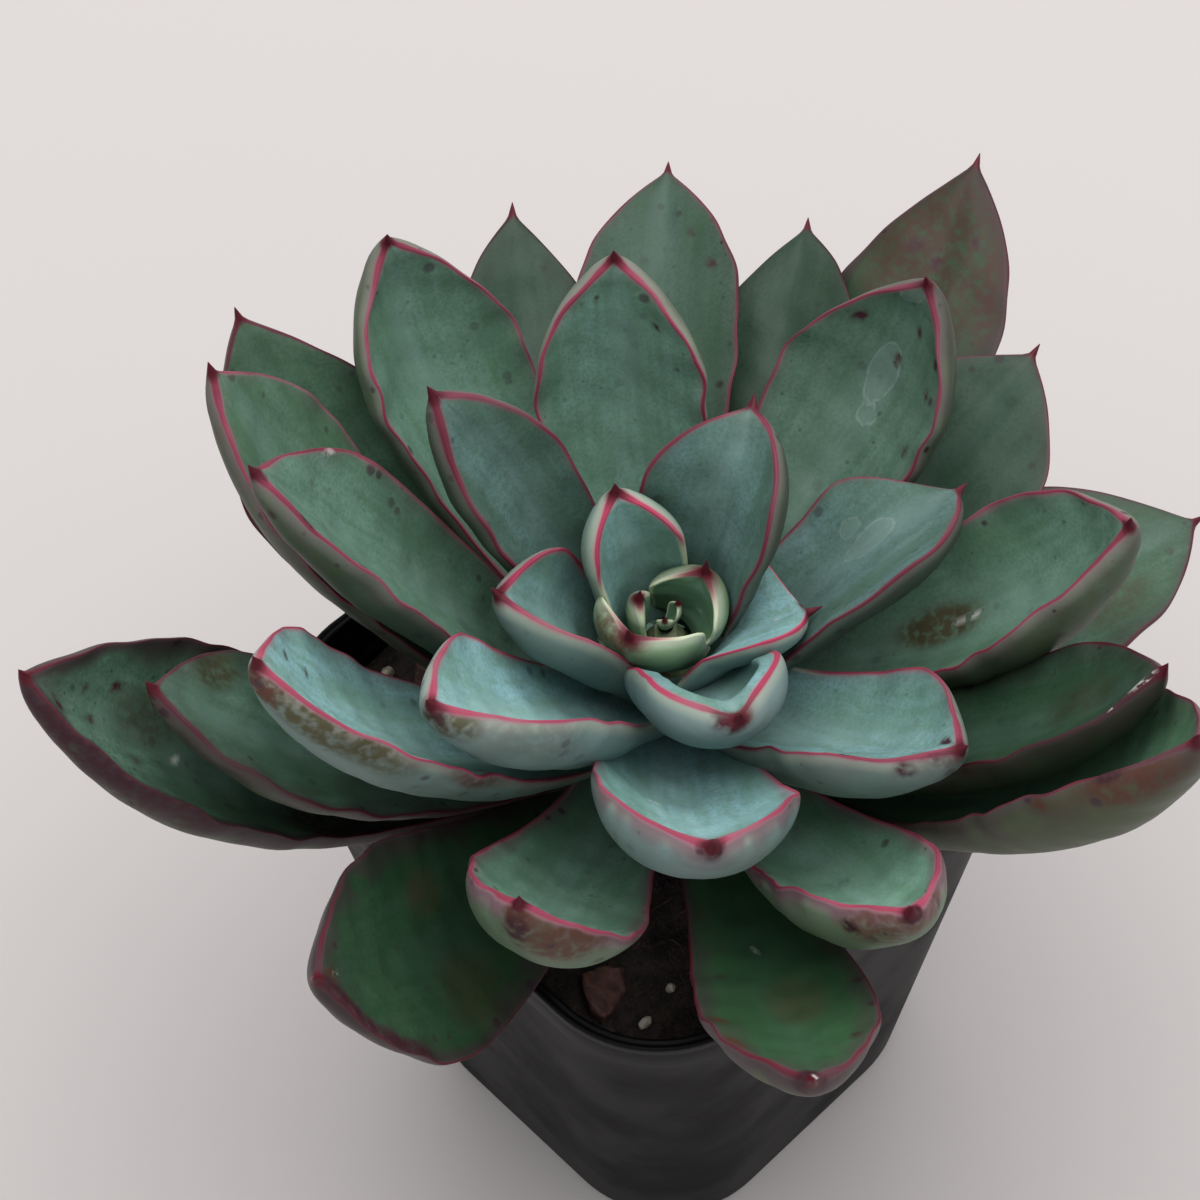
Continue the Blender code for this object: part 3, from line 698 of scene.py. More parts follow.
def add_pits(tree, at, color):
    """Fine dark pits in the bloom."""
    gathered = remap(tree, at.broad, 0.40, 0.60, 0.15, 0.60)
    pits = times(tree, dots(tree, at.place, *PITS), gathered, at.dots, clamp=True)
    return color_mix(tree, pits, color, PIT_COLOR)


def add_stains(tree, at, color):
    """Olive and brown stains with torn outlines."""
    for strength, stain_color in ((at.olive, OLIVE), (at.brown, BROWN)):
        color = color_mix(tree, times(tree, strength, at.torn, clamp=True), color, stain_color)
    return color


def film_and_sheen_mask(tree, at):
    """Scuffed bloom, and in places a painted highlight marked as a scuff: a faint paler patch with a
    paler, wandering outline.
    """
    film_and_sheen = calc(tree, "ADD", times(tree, at.wander, 0.90), calc(tree, "SUBTRACT", at.scuff, 0.45))
    outline = times(tree, remap(tree, film_and_sheen, 0.18, 0.27), remap(tree, film_and_sheen, 0.40, 0.29), at.torn, 0.45)
    patch = remap(tree, film_and_sheen, 0.27, 0.40, 0.0, 0.22)
    return times(tree, calc(tree, "MAXIMUM", outline, patch), remap(tree, at.scuff, 0.0, 0.12))


def add_dots(tree, at, color):
    """Small dark dots, more of them toward the edge."""
    toward_rim = remap(tree, at.rim, 0.006, 0.0005, 0.25, 1.0)
    shown = times(tree, dots(tree, at.place, *SPOTS), toward_rim, at.dots, clamp=True)
    return color_mix(tree, shown, color, DOT_COLOR)


def add_line(tree, at, edge, color):
    """The red line along the edge in its faded halo: cream toward the base, dark toward the tip."""
    width = times(tree, remap(tree, at.wander, 0.25, 0.75, 0.65, 1.35), edge.width,
                  remap(tree, at.upper, 0.2, 0.8, 0.6, 1.2), at.line)
    cream = remap(tree, calc(tree, "SUBTRACT", at.share, at.cream), 0.12, -0.10)
    halo = remap(tree, at.rim, times(tree, width, 2.0), times(tree, width, 0.5))
    faded = color_mix(tree, cream, edge.faded, MARGIN_CREAM)
    color = color_mix(tree, times(tree, halo, 0.75), color, faded)
    line = remap(tree, at.rim, width, times(tree, width, 0.35))
    line = times(tree, line, remap(tree, at.broad, 0.32, 0.50, 0.55, 1.0), remap(tree, cream, 1.0, 0.0))
    ageing = times(tree, remap(tree, at.broad, 0.40, 0.65), at.depth)
    darkened = calc(tree, "MAXIMUM", ageing, at.tipward)
    return color_mix(tree, line, color, color_mix(tree, darkened, edge.color, MARGIN_DARK))


def add_scars(tree, at, color):
    """Dark spots, the dark tip and white scars, which the leaf's tone, with its painted light and shade,
    leaves alone.
    """
    color = color_mix(tree, times(tree, at.dark, at.torn, clamp=True), color, DARK_SPOT)
    color = color_mix(tree, at.mucro, color, MUCRO_COLOR)
    white = times(tree, at.white, remap(tree, at.ragged, 0.40, 0.55), clamp=True)
    return color_mix(tree, white, color, WHITE)


def leaf_material(name, edge):
    """Fleshy leaf: bloom over green, a coloured margin, a blush inside it, dots, marks and a dark tip,
    with painted light and shade scaled in by each leaf's tone.
    """
    material, tree, shader = new_material(name)
    at = read_leaf(tree)
    cover = bloom_cover(tree, at)
    bloom_color = color_mix(tree, remap(tree, at.bloom, 0.40, 0.95), BLOOM_OLD, BLOOM_YOUNG)
    under = under_color(tree, at, cover, bloom_color)
    color = color_mix(tree, at.upper, under, face_color(tree, at, cover, bloom_color))
    color = add_blush(tree, at, edge, color)
    color = add_pits(tree, at, color)
    color = add_stains(tree, at, color)
    # Scuffed bloom, and in places a painted highlight: a paler, glossier patch
    film_and_sheen = film_and_sheen_mask(tree, at)
    color = color_mix(tree, film_and_sheen, color, FILM_AND_SHEEN_COLOR)
    color = add_dots(tree, at, color)
    color = add_line(tree, at, edge, color)
    # Scales the colour by the leaf's tone: painted light and shade, with some of the leaf's own paler or
    # darker green
    light_and_tone_scaled = put(tree, "ShaderNodeVectorMath", {0: color, "Scale": at.tone}, operation="SCALE")
    color = add_scars(tree, at, light_and_tone_scaled.outputs["Vector"])
    rough = remap(tree, cover, 0.0, 1.0, 0.42, 0.66)
    finish(tree, shader, color, calc(tree, "SUBTRACT", rough, times(tree, film_and_sheen, 0.30), clamp=True))
    shader.inputs["Specular IOR Level"].default_value = 0.16
    height = calc(tree, "ADD", times(tree, at.ragged, 0.4), times(tree, at.wander, 0.8))
    add_bump(tree, shader, height, 0.35, 0.00025)
    return material


# Leaves

SHORTEST_THICK = 0.008
SPIKE_RINGS = 8
SPIKE_REACH = 0.98
MUCRO_POINT = 0.00004
MUCRO_HALF = 0.00042
MUCRO_FOOT = 0.00070
MUCRO_STOUT = 0.0016
RIPPLES = (0.011, 0.0063)
SWELL_SIZE = 0.014
SMALL_LEAF = 0.014
SMALL_GRID = (36, 25)
FULL_GRID = (84, 45)


def half_width_at(share, widest, base, arch):
    """Half width along the leaf: clasping base, widest place, then a point, blunter for a higher arch."""
    inner = np.clip(share / WIDEST_AT, 0.0, 1.0)
    swell = np.sin(math.pi / 2 * inner ** 1.15) ** 2
    past = np.clip((share - WIDEST_AT) / (1.0 - WIDEST_AT), 0.0, 1.0)
    return np.where(share < WIDEST_AT, base + (widest - base) * swell, widest * (1.0 - past ** arch))


def leaf_frames(leaf, base_radius, base_height, shares):
    """Places, directions ahead and directions across at shares of the leaf's length."""
    turn = math.radians(leaf.azimuth + PLANT_TURN)
    fine = np.linspace(0.0, 1.0, 401)
    rise = np.radians(leaf.rise_base + (leaf.rise_tip - leaf.rise_base) * fine ** leaf.curl)
    heading = turn + math.radians(leaf.bend) * fine ** 1.5
    ahead = np.stack([np.cos(rise) * np.cos(heading), np.cos(rise) * np.sin(heading), np.sin(rise)], 1)
    across = np.stack([-np.sin(heading), np.cos(heading), np.zeros_like(heading)], 1)
    steps = (ahead[1:] + ahead[:-1]) / 2 * leaf.length / (len(fine) - 1)
    start = np.array(plant_centre() + around(turn, base_radius, base_height))
    places = start + np.vstack([np.zeros(3), np.cumsum(steps, 0)])
    held = np.minimum(shares, 1.0)
    at = []
    for rows in (places, ahead, across):
        at.append(np.stack([np.interp(held, fine, rows[:, k]) for k in range(3)], 1))
    at[0] = at[0] + at[1] * ((shares - held) * leaf.length)[:, None]
    return at


class Section(NamedTuple):
    """A leaf at each ring: its share along, that share held at 1, and its section's sizes there."""
    shares: np.ndarray
    held: np.ndarray
    from_point: np.ndarray
    mucro: float
    width: np.ndarray
    depth: np.ndarray
    edge: np.ndarray
    cup: np.ndarray


def leaf_section(leaf, stations, base, arch):
    """Where a leaf's rings are, past 1 on the mucro, and how wide, deep and cupped it is there."""
    mucro = float(interpolate(leaf.length, MUCRO_STEPS))
    spike = 1.0 + np.linspace(0.0, 1.0, SPIKE_RINGS)[1:] * mucro / leaf.length * SPIKE_REACH
    shares = np.concatenate([np.linspace(0.0, 1.0, stations) ** 0.9, spike])
    held = np.minimum(shares, 1.0)
    from_point = (1.0 - shares) * leaf.length + mucro
    small = min(leaf.length / SHORTEST_THICK, 1.0)
    sizes = [small * float(interpolate(leaf.length, SIZE_STEPS, k)) for k in (1, 2, 3)]
    neck_width, neck_depth, blade_depth = sizes
    spike_half = np.interp(from_point, [0.0, mucro, 2.5 * mucro], [MUCRO_POINT, MUCRO_HALF, MUCRO_FOOT])
    spike_half = spike_half * min(mucro / MUCRO_STOUT, 1.0)
    base_half = max(neck_width, base * leaf.half_width)
    width = np.hypot(half_width_at(held, leaf.half_width, base_half, arch), spike_half)
    flesh = neck_depth + (blade_depth - neck_depth) * interpolate(held, FLESH_STEPS)
    depth = flesh - (neck_depth - TIP_DEPTH) * interpolate(held, TIP_STEPS)
    depth = np.maximum(depth, BASE_DEPTH * blade_depth * np.clip((0.5 - held) / 0.3, 0.0, 1.0))
    edge = spike_half + (small * EDGE_ROUND - spike_half) * smooth_step((1.0 - shares) / 0.08)
    cup = np.maximum(np.radians(leaf.cup) * interpolate(held, CUP_STEPS), 0.001)
    return Section(shares, held, from_point, mucro, width, depth, edge, cup)


def cupped_sheet(leaf, section, frames, u):
    """The leaf's middle surface, its outward directions and how far each point lies to the side."""
    place, ahead, level = frames
    above = np.cross(ahead, level)
    roll = np.radians(leaf.roll) * np.minimum(2.0 * section.shares, 1.0)[:, None]
    side = level * np.cos(roll) + above * np.sin(roll)
    top = above * np.cos(roll) - level * np.sin(roll)
    width, cup = section.width[:, None], section.cup[:, None]
    bow = cup * u
    lateral = width * np.sin(bow) / cup
    lift = width * (1.0 - np.cos(bow)) / cup
    middle = place[:, None] + side[:, None] * lateral[..., None] + top[:, None] * lift[..., None]
    out = top[:, None] * np.cos(bow)[..., None] - side[:, None] * np.sin(bow)[..., None]
    return middle, out, lateral


def rim_ripple(section, along, u, wave, seed):
    """How far the sheet strays toward its edges, in two uneven ripples."""
    long_one, short_one = RIPPLES
    ripple = np.sin(along / long_one * 2 * math.pi + seed + np.sign(u) * 1.3)
    ripple = ripple + 0.6 * np.sin(along / short_one * 2 * math.pi + 2.3 * seed + np.sign(u))
    calm = smooth_step((section.held - 0.3) / 0.3) * smooth_step((1.0 - section.held) / 0.12)
    return wave * ripple * np.abs(u) ** 3 * calm[:, None]


def calm_channel(shares):
    """How deep the groove along the leaf's face is: none at the base and the tip."""
    return smooth_step((shares - 0.1) / 0.2) * smooth_step((1.0 - shares) / 0.15)


def relief(lateral, along, seed):
    """Slow swells over a leaf's faces, mostly from -1 to 1."""
    total = np.zeros_like(lateral)
    for k in range(1, 6):
        turn = 1.7 * seed + 2.4 * k
        size = SWELL_SIZE / k ** 0.7
        crossing = lateral * math.cos(turn) + along * math.sin(turn)
        total += np.sin(2 * math.pi * crossing / size + seed * k) / k ** 0.5
    return total / 2.0


def lip_crest(leaf, section, u):
    """A ridge on the upper face, a little way in from the edge and round the point."""
    beside = section.width[:, None] * (1.0 - np.abs(u)) + 1e-6
    ahead_of = np.maximum(0.6 * (1.0 - section.shares) * leaf.length, 1e-6)[:, None]
    inset = ((beside ** -3.0 + ahead_of ** -3.0) ** (-1.0 / 3.0) - LIP_INSET) / LIP_SPREAD
    fade = smooth_step((section.held - 0.3) / 0.3) * smooth_step((1.0 - section.held) / 0.05)
    return np.exp(-(inset ** 2)) * fade[:, None]


def leaf_thickness(section, u, swell):
    """How far the upper and the lower face stand off the middle surface."""
    inward = np.clip(1.0 - u * u, 0.0, 1.0)[None, :]
    plump = (np.clip(1.0 - np.abs(u) ** 2.3, 0.0, 1.0) ** 0.8)[None, :]
    calm = calm_channel(section.held)[:, None]
    channel = CHANNEL_DEPTH * np.exp(-(u / CHANNEL_HALF) ** 2)[None, :] * calm
    swell = RELIEF * swell * calm * inward
    rounded = section.edge[:, None] * np.sqrt(inward)
    fade = np.clip(section.from_point / section.mucro, 0.0, 1.0)[:, None]
    upper_flesh = np.maximum(UPPER_SHARE * section.depth - FLESH_EDGE, 0.0)[:, None] * fade * inward ** 0.8
    lower_flesh = np.maximum(LOWER_SHARE * section.depth - FLESH_EDGE, 0.0)[:, None] * fade * plump
    return rounded + upper_flesh - channel + swell, rounded + lower_flesh + 0.7 * swell[:, ::-1]


def both_faces(values):
    """Values on the upper face, and the same going back round the lower face."""
    return np.concatenate([values, values[:, -2:0:-1]], 1)


def leaf_facts(leaf, section, u, lateral, seed):
    """What the material reads at each point, and the place in the leaf's own flow."""
    rows = np.ones_like(lateral)
    upper = np.concatenate([rows, np.zeros_like(rows[:, -2:0:-1])], 1)
    upper[:, [0, len(u) - 1]] = 0.5
    past_mucro = (section.from_point - section.mucro) / section.mucro
    to_tip = np.maximum((1.0 - section.shares) * leaf.length, 0.0)
    facts = {
        "share": both_faces(rows * section.shares[:, None]),
        "across": both_faces(rows * u),
        "rim": both_faces(section.width[:, None] * (1.0 - np.abs(u))),
        "to_tip": both_faces(rows * to_tip[:, None]),
        "mucro": both_faces(rows * smooth_step(1.0 - 2.0 * past_mucro)[:, None]),
        "tipward": both_faces(rows * smooth_step(1.0 - past_mucro)[:, None]),
        "upper": upper,
    }
    along = both_faces(rows * (section.shares * leaf.length)[:, None] * 0.35)
    return facts, np.stack([both_faces(lateral), along, both_faces(rows) * seed], -1)


def mark_masks(leaf, facts, width, marks):
    """How strongly each kind of mark shows at each point."""
    masks = {kind: np.zeros_like(facts["share"]) for kind in MARK_KINDS}
    for label, rows in marks.items():
        kind, _, below = label.partition(" ")
        shown = facts["upper"] <= 0.5 if below else facts["upper"] >= 0.5
        for share, across, length, half_width, strength in rows:
            along = (facts["share"] - share) * leaf.length / (length * MILLIMETRE)
            beside = (facts["across"] - across) * width[:, None] / (half_width * MILLIMETRE)
            near = smooth_step(1.6 - np.hypot(along, beside))
            masks[kind] = np.maximum(masks[kind], strength * near * shown)
    return masks


def keep_facts(mesh, facts, flow):
    """Keeps numbers at each point of the mesh, for its material."""
    for name, values in facts.items():
        kept = mesh.attributes.new(name, "FLOAT", "POINT")
        kept.data.foreach_set("value", np.asarray(values, np.float32).ravel())
    kept = mesh.attributes.new("flow", "FLOAT_VECTOR", "POINT")
    kept.data.foreach_set("vector", np.asarray(flow, np.float32).ravel())


def leaf_seat(leaf, age):
    """The leaf's distance from the stem's axis and its height, which follows from its age, 0 to 1."""
    height = LOWEST_LEAF + (HIGHEST_LEAF - LOWEST_LEAF) * (1.0 - age) ** CROWDING
    lean = float(interpolate(leaf.length, SIZE_STEPS, 2)) / 2 * math.sin(math.radians(leaf.rise_base))
    return float(interpolate(height, STEM_PROFILE)) + LEAF_STEM_GAP + lean, height


class Growth(NamedTuple):
    """How one leaf grows: edge waviness, base width, seed, marks, lip height and arch of its point."""
    wave: float
    base: float
    seed: float
    marks: dict = {}
    lip: float = 0.0
    arch: float = TIP_ARCH


def make_leaf(name, leaf, seat, look, growth):
    """One fine leaf, with the facts that its material reads."""
    stations, columns = SMALL_GRID if leaf.length < SMALL_LEAF else FULL_GRID
    u = np.sin(math.pi / 2 * np.linspace(-1.0, 1.0, columns))
    section = leaf_section(leaf, stations, growth.base, growth.arch)
    middle, out, lateral = cupped_sheet(leaf, section, leaf_frames(leaf, *seat, section.shares), u)
    along = section.shares[:, None] * leaf.length
    middle = middle + out * rim_ripple(section, along, u, growth.wave, growth.seed)[..., None]
    above, below = leaf_thickness(section, u, relief(lateral, along, growth.seed))
    above = above + growth.lip * lip_crest(leaf, section, u)
    lower = middle - out * below[..., None]
    points = np.concatenate([middle + out * above[..., None], lower[:, -2:0:-1]], 1)
    facts, flow = leaf_facts(leaf, section, u, lateral, growth.seed)
    facts.update(mark_masks(leaf, facts, section.width, growth.marks))
    for label, value in zip(Look._fields, look):
        facts[label] = np.full_like(facts["share"], value)
    rings, size = points.shape[:2]
    piece = make_mesh(name, points.reshape(-1, 3), skin_faces(rings, size), smooth_below=80.0)
    keep_facts(piece.data, facts, flow)
    return piece


def make_leaves(materials):
    """Every leaf of the rosette, youngest first."""
    count = sum(len(ring.leaves) for ring in RINGS)
    placed = 0
    for ring in RINGS:
        for number, leaf in enumerate(ring.leaves, 1):
            node = "%s_leaf_%d" % (ring.name, number)
            growth = Growth(ring.wave, ring.base, placed * 1.7, MARKS.get(node, {}),
                            LIP_RISES.get(node, 0.0), TIP_ARCHES.get(node, TIP_ARCH))
            seat = leaf_seat(leaf, placed / (count - 1))
            piece = make_leaf(node + "_fine", leaf, seat, SPECIAL_LOOKS.get(node, ring.look), growth)
            join_piece(piece, ring.slot, materials[ring.slot], node)
            placed += 1


# Growing tip

TIP_HEIGHT = 0.0986
TIP_RADIUS = 0.0009
LEAFLET_INSET = 0.0003
LEAFLETS = [Leaf(20, 0.0040, 0.0011, 66, 84, 0, 0, 40), Leaf(265, 0.0032, 0.0010, 70, 86, 0, 0, 40)]
LEAFLET_LOOK = Look(0.3, 0.1, 0.0, 0.15, 0.3, 1.1)


def make_growing_tip(material):
    """Two unopened leaflets on their small dome, as one piece."""
    parts = []
    for number, leaf in enumerate(LEAFLETS):
        growth = Growth(0.0, 0.55, 3.0 + number)
        parts.append(make_leaf("leaflet", leaf, (LEAFLET_INSET, TIP_HEIGHT), LEAFLET_LOOK, growth))
    bm = bmesh.new()
    bmesh.ops.create_uvsphere(bm, u_segments=24, v_segments=14, radius=TIP_RADIUS)
    bmesh.ops.translate(bm, vec=plant_centre() + Vector((0.0, 0.0, TIP_HEIGHT)), verts=bm.verts)
    parts.append(mesh_from(bm, "dome"))
    join_piece(join_objects(parts, "growing_tip_fine"), "leaf_young", material, "growing_tip")


def join_objects(parts, name):
    """Joins mesh objects into the first one."""
    with bpy.context.temp_override(active_object=parts[0], selected_editable_objects=parts):
        bpy.ops.object.join()
    parts[0].name = name
    parts[0].data.name = name
    return parts[0]


# Pot

def square_ring(side, corner, z, corner_points=20, side_points=0):
    """A rounded square at one height, counter-clockwise from above."""
    ring = []
    for quarter in range(4):
        spin = math.radians(90.0 * quarter)
        middle = around(spin + math.radians(45.0), math.sqrt(2.0) * (side / 2 - corner))
        arc = []
        for k in range(corner_points):
            arc.append(middle + around(spin + math.radians(90.0) * k / (corner_points - 1), corner, z))
        if ring:
            ring += fill_side(ring[-1], arc[0], side_points)
        ring += arc
    return ring + fill_side(ring[-1], ring[0], side_points)


def fill_side(start, end, count):
    """Evenly spaced points between two corners' arcs."""
    return [start.lerp(end, (k + 1) / (count + 1)) for k in range(count)]


def body_side(z):
    """Outside width of the pot's tapered body, without its collar."""
    rim_side = POT_RIM_SIDE - 2 * COLLAR_STEP
    return POT_FOOT_SIDE + (rim_side - POT_FOOT_SIDE) * z / POT_HEIGHT


def rounded_edge(z, grow, radius, from_angle, to_angle, steps=4):
    """Points of a quarter-round edge, as (height, growth of the side)."""
    angles = [math.radians(from_angle + (to_angle - from_angle) * k / steps) for k in range(steps + 1)]
    return [(z + radius * math.sin(a), grow + 2 * radius * math.cos(a)) for a in angles]


POT_BEAD = 0.00035
GROOVE = [(0.0030, 0.0), (0.0022, 0.0003), (0.0016, 0.0)]
WEAR_DEPTH = 0.00012
WEAR_BAND = 0.004
RIM_NICK = Vector((-0.0165, 0.0352))
NICK_DEPTH = 0.0005
NICK_RADIUS = 0.0016


def pot_profile():
    """The pot's section, up the outside and down the inside: height, and growth past the tapered side."""
    step = 2 * COLLAR_STEP
    band = POT_HEIGHT - COLLAR_DEPTH
    lip = step - 2 * RIM_THICKNESS
    bead = POT_BEAD
    profile = [(0.0, -2 * FOOT_ROUND)] + rounded_edge(FOOT_ROUND, -2 * FOOT_ROUND, FOOT_ROUND, -60, 0, 4)
    profile += [(0.02, 0.0), (0.04, 0.0), (0.06, 0.0), (band - 0.0004, 0.0), (band, 0.0001)]
    profile += rounded_edge(band + 0.0006, step - 2 * 0.0003, 0.0003, -70, 0, 3)
    profile += [(POT_HEIGHT - drop, step - inward) for drop, inward in GROOVE]
    profile += rounded_edge(POT_HEIGHT - bead, step - 2 * bead, bead, 0, 110, 5)
    profile += [(POT_HEIGHT - 0.00018, step - 2 * 0.00075)]
    profile += rounded_edge(POT_HEIGHT - bead, lip + 2 * bead, bead, 75, 180, 5)
    profile += [(band + 0.0006, lip)]
    profile += [(z, -2 * POT_WALL) for z in (band, 0.05, POT_FLOOR)]
    return profile


def rim_wear(point):
    """How far the rim's height strays at a place: a slow wave, and one nick at the back left corner."""
    slow = WEAR_DEPTH * noise.noise(point * 90.0)
    away = (point.xy - RIM_NICK).length
    return slow - NICK_DEPTH * max(1.0 - away / NICK_RADIUS, 0.0)


def make_pot(material):
    """The thin square pot, with a ridged collar and rim, and four drain holes."""
    rings = []
    for z, grow in pot_profile():
        ring = square_ring(body_side(z) + grow, POT_CORNER + grow / 2, z, side_points=12)
        share = max((z - POT_HEIGHT + WEAR_BAND) / WEAR_BAND, 0.0)
        rings.append([p + Vector((0.0, 0.0, min(share * rim_wear(p), 0.0))) for p in ring])
    size = len(rings[0])
    pot = make_mesh("pot_fine", [p for ring in rings for p in ring], skin_faces(len(rings), size), 35.0)
    cut_drains(pot)
    join_piece(pot, "pot_plastic", material, "pot")


def cut_drains(pot):
    """Cuts the four drain holes through the pot's floor."""
    cutters = []
    for x, y in ((1, 1), (-1, 1), (-1, -1), (1, -1)):
        bm = bmesh.new()
        bmesh.ops.create_cone(bm, cap_ends=True, segments=40, radius1=DRAIN_RADIUS, radius2=DRAIN_RADIUS,
                              depth=3 * POT_FLOOR)
        bmesh.ops.translate(bm, vec=(x * DRAIN_PLACE, y * DRAIN_PLACE, POT_FLOOR / 2), verts=bm.verts)
        cutters.append(mesh_from(bm, "cutter"))
    for cutter in cutters:
        cut = pot.modifiers.new("drain", "BOOLEAN")
        cut.operation = "DIFFERENCE"
        cut.solver = "EXACT"
        cut.object = cutter
    bpy.context.view_layer.update()
    cut_mesh = bpy.data.meshes.new_from_object(pot.evaluated_get(bpy.context.evaluated_depsgraph_get()))
    pot.modifiers.clear()
    pot.data = cut_mesh
    for cutter in cutters:
        bpy.data.objects.remove(cutter, do_unlink=True)


PLASTIC = (0.0026, 0.0026, 0.0029)
PLASTIC_DUST = (0.012, 0.0105, 0.010)
PLASTIC_SCUFF = (0.045, 0.040, 0.037)


def pot_material():
    """Matt black moulded plastic with a fine grain, pale dust and scuffs."""
    material, tree, shader = new_material("pot_plastic")
    place = object_place(tree)
    dust = patches(tree, place, 60.0, 0.40, 0.75, 6.0)
    scuffs = patches(tree, place, 700.0, 0.62, 0.80, 5.0)
    color = color_mix(tree, times(tree, dust, 0.25), PLASTIC, PLASTIC_DUST)
    color = color_mix(tree, times(tree, scuffs, 0.3), color, PLASTIC_SCUFF)
    finish(tree, shader, color, calc(tree, "ADD", 0.46, times(tree, dust, 0.20)))
    shader.inputs["Specular IOR Level"].default_value = 0.09
    add_bump(tree, shader, cloud(tree, place, 2200.0, 3.0), 0.15, 0.0002)
    return material


# Soil, stem and loose pieces

class Loose(NamedTuple):
    """A loose piece lying on the soil: its place, turn and size."""
    x: float
    y: float
    turn: float
    length: float
    width: float
    height: float


BARK = [
    Loose(-0.0275, -0.0185, 228, 0.0078, 0.0058, 0.0016),
    Loose(-0.0140, 0.0240, 70, 0.0070, 0.0045, 0.0014),
    Loose(-0.0190, 0.0100, 10, 0.0065, 0.0045, 0.0014),
    Loose(0.0220, 0.0160, -60, 0.0075, 0.0050, 0.0016),
    Loose(0.0200, -0.0190, 35, 0.0070, 0.0045, 0.0014),
    Loose(-0.0100, -0.0240, 120, 0.0060, 0.0040, 0.0013),
]
BARK_CORNERS = 8
BARK_TAPER = 0.35
PERLITE = [
    Loose(-0.0165, 0.0285, 0, 0.0017, 0.0015, 0.0014),
    Loose(-0.0268, -0.0245, 40, 0.0018, 0.0012, 0.0011),
    Loose(-0.0218, -0.0235, 10, 0.0012, 0.0011, 0.0010),
    Loose(0.0100, 0.0260, 70, 0.0022, 0.0019, 0.0017),
    Loose(0.0270, -0.0080, 20, 0.0020, 0.0018, 0.0016),
]
LOOSE_MARGIN = 0.0016
STEM_MARGIN = 0.002
SOIL_GRIT = (0.00035, 9.0)
SOIL_GRAIN = (0.0002, 21.0)
SOIL_RINGS = 48
SOIL_POINTS = (18, 24)
CRUMBS = 2600
CRUMB_SIZE = 0.00022
FIBRES = 110
FIBRE_STEPS = 6
FIBRE_SIDES = 5
FULL_TURN = 6.28


def soil_height(x, y):
    """Lumpy soil, level where a loose piece lies."""
    spot = Vector((x / SOIL_LUMP, y / SOIL_LUMP, 0.0))
    lump = SOIL_RELIEF * (noise.noise(spot) + 0.5 * noise.noise(2.3 * spot))
    lump += sum(height * noise.noise(fineness * spot) for height, fineness in (SOIL_GRIT, SOIL_GRAIN))
    for piece in BARK + PERLITE:
        clear = math.hypot(x - piece.x, y - piece.y) - piece.length / 2
        lump *= min(max(clear / LOOSE_MARGIN - 0.5, 0.0), 1.0)
    return SOIL_TOP + lump


def make_soil(material):
    """The soil block with a fine rough top."""
    centre = plant_centre()
    slack = 2 * (POT_WALL + FIT_GAP)
    corner = POT_CORNER - POT_WALL - FIT_GAP
    floor = POT_FLOOR + FIT_GAP
    edge = square_ring(body_side(SOIL_TOP) - slack, corner, 0.0, *SOIL_POINTS)
    mouth = [centre + around(math.atan2(p.y - centre.y, p.x - centre.x), STEM_HOLE_RADIUS) for p in edge]
    hole_floor = STEM_PROFILE[0][0] - FIT_GAP
    rings = [[Vector((p.x, p.y, hole_floor)) for p in mouth]]
    for k in range(SOIL_RINGS + 1):
        spread = [near.lerp(far, k / SOIL_RINGS) for near, far in zip(mouth, edge)]
        rings.append([Vector((p.x, p.y, soil_height(p.x, p.y))) for p in spread])
    rings.append(square_ring(body_side(floor) - slack, corner, floor, *SOIL_POINTS))
    points = [p for ring in rings for p in ring]
    soil = make_mesh("soil_fine", points, skin_faces(len(rings), len(edge)), 70.0)
    join_piece(soil, "soil", material, "soil")


def free_soil_spot(draw, margin):
    """A random place on the soil, clear of the stem, the wall and the loose pieces."""
    reach = body_side(SOIL_TOP) / 2 - POT_WALL - FIT_GAP - margin
    while True:
        x, y = draw.uniform(-reach, reach), draw.uniform(-reach, reach)
        corner = reach - POT_CORNER + POT_WALL
        if math.hypot(max(abs(x) - corner, 0.0), max(abs(y) - corner, 0.0)) > POT_CORNER - POT_WALL:
            continue
        if math.hypot(x, y) < STEM_HOLE_RADIUS + STEM_MARGIN:
            continue
        if all(math.hypot(x - p.x, y - p.y) > 0.5 * p.length + margin for p in BARK + PERLITE):
            return x, y


def make_crumbs(material):
    """Crumbs of peat strewn over the soil, as one piece."""
    draw = random.Random(11)
    bm = bmesh.new()
    for _ in range(CRUMBS):
        x, y = free_soil_spot(draw, 0.0004)
        size = CRUMB_SIZE * math.exp(draw.gauss(0.0, 0.45))
        made = bmesh.ops.create_icosphere(bm, subdivisions=1, radius=size)["verts"]
        turn = draw.uniform(0.0, FULL_TURN)
        axis = Vector((draw.gauss(0, 1), draw.gauss(0, 1), draw.gauss(0, 1))).normalized()
        spin = Matrix.Rotation(turn, 3, axis)
        stretch = Matrix.Diagonal((draw.uniform(0.8, 1.8), draw.uniform(0.6, 1.0), draw.uniform(0.5, 0.9)))
        seat = Vector((x, y, soil_height(x, y) + 0.3 * size))
        for v in made:
            v.co = seat + spin @ (stretch @ v.co) * draw.uniform(0.8, 1.2)
    join_piece(mesh_from(bm, "soil_crumbs", 50.0), "soil", material)


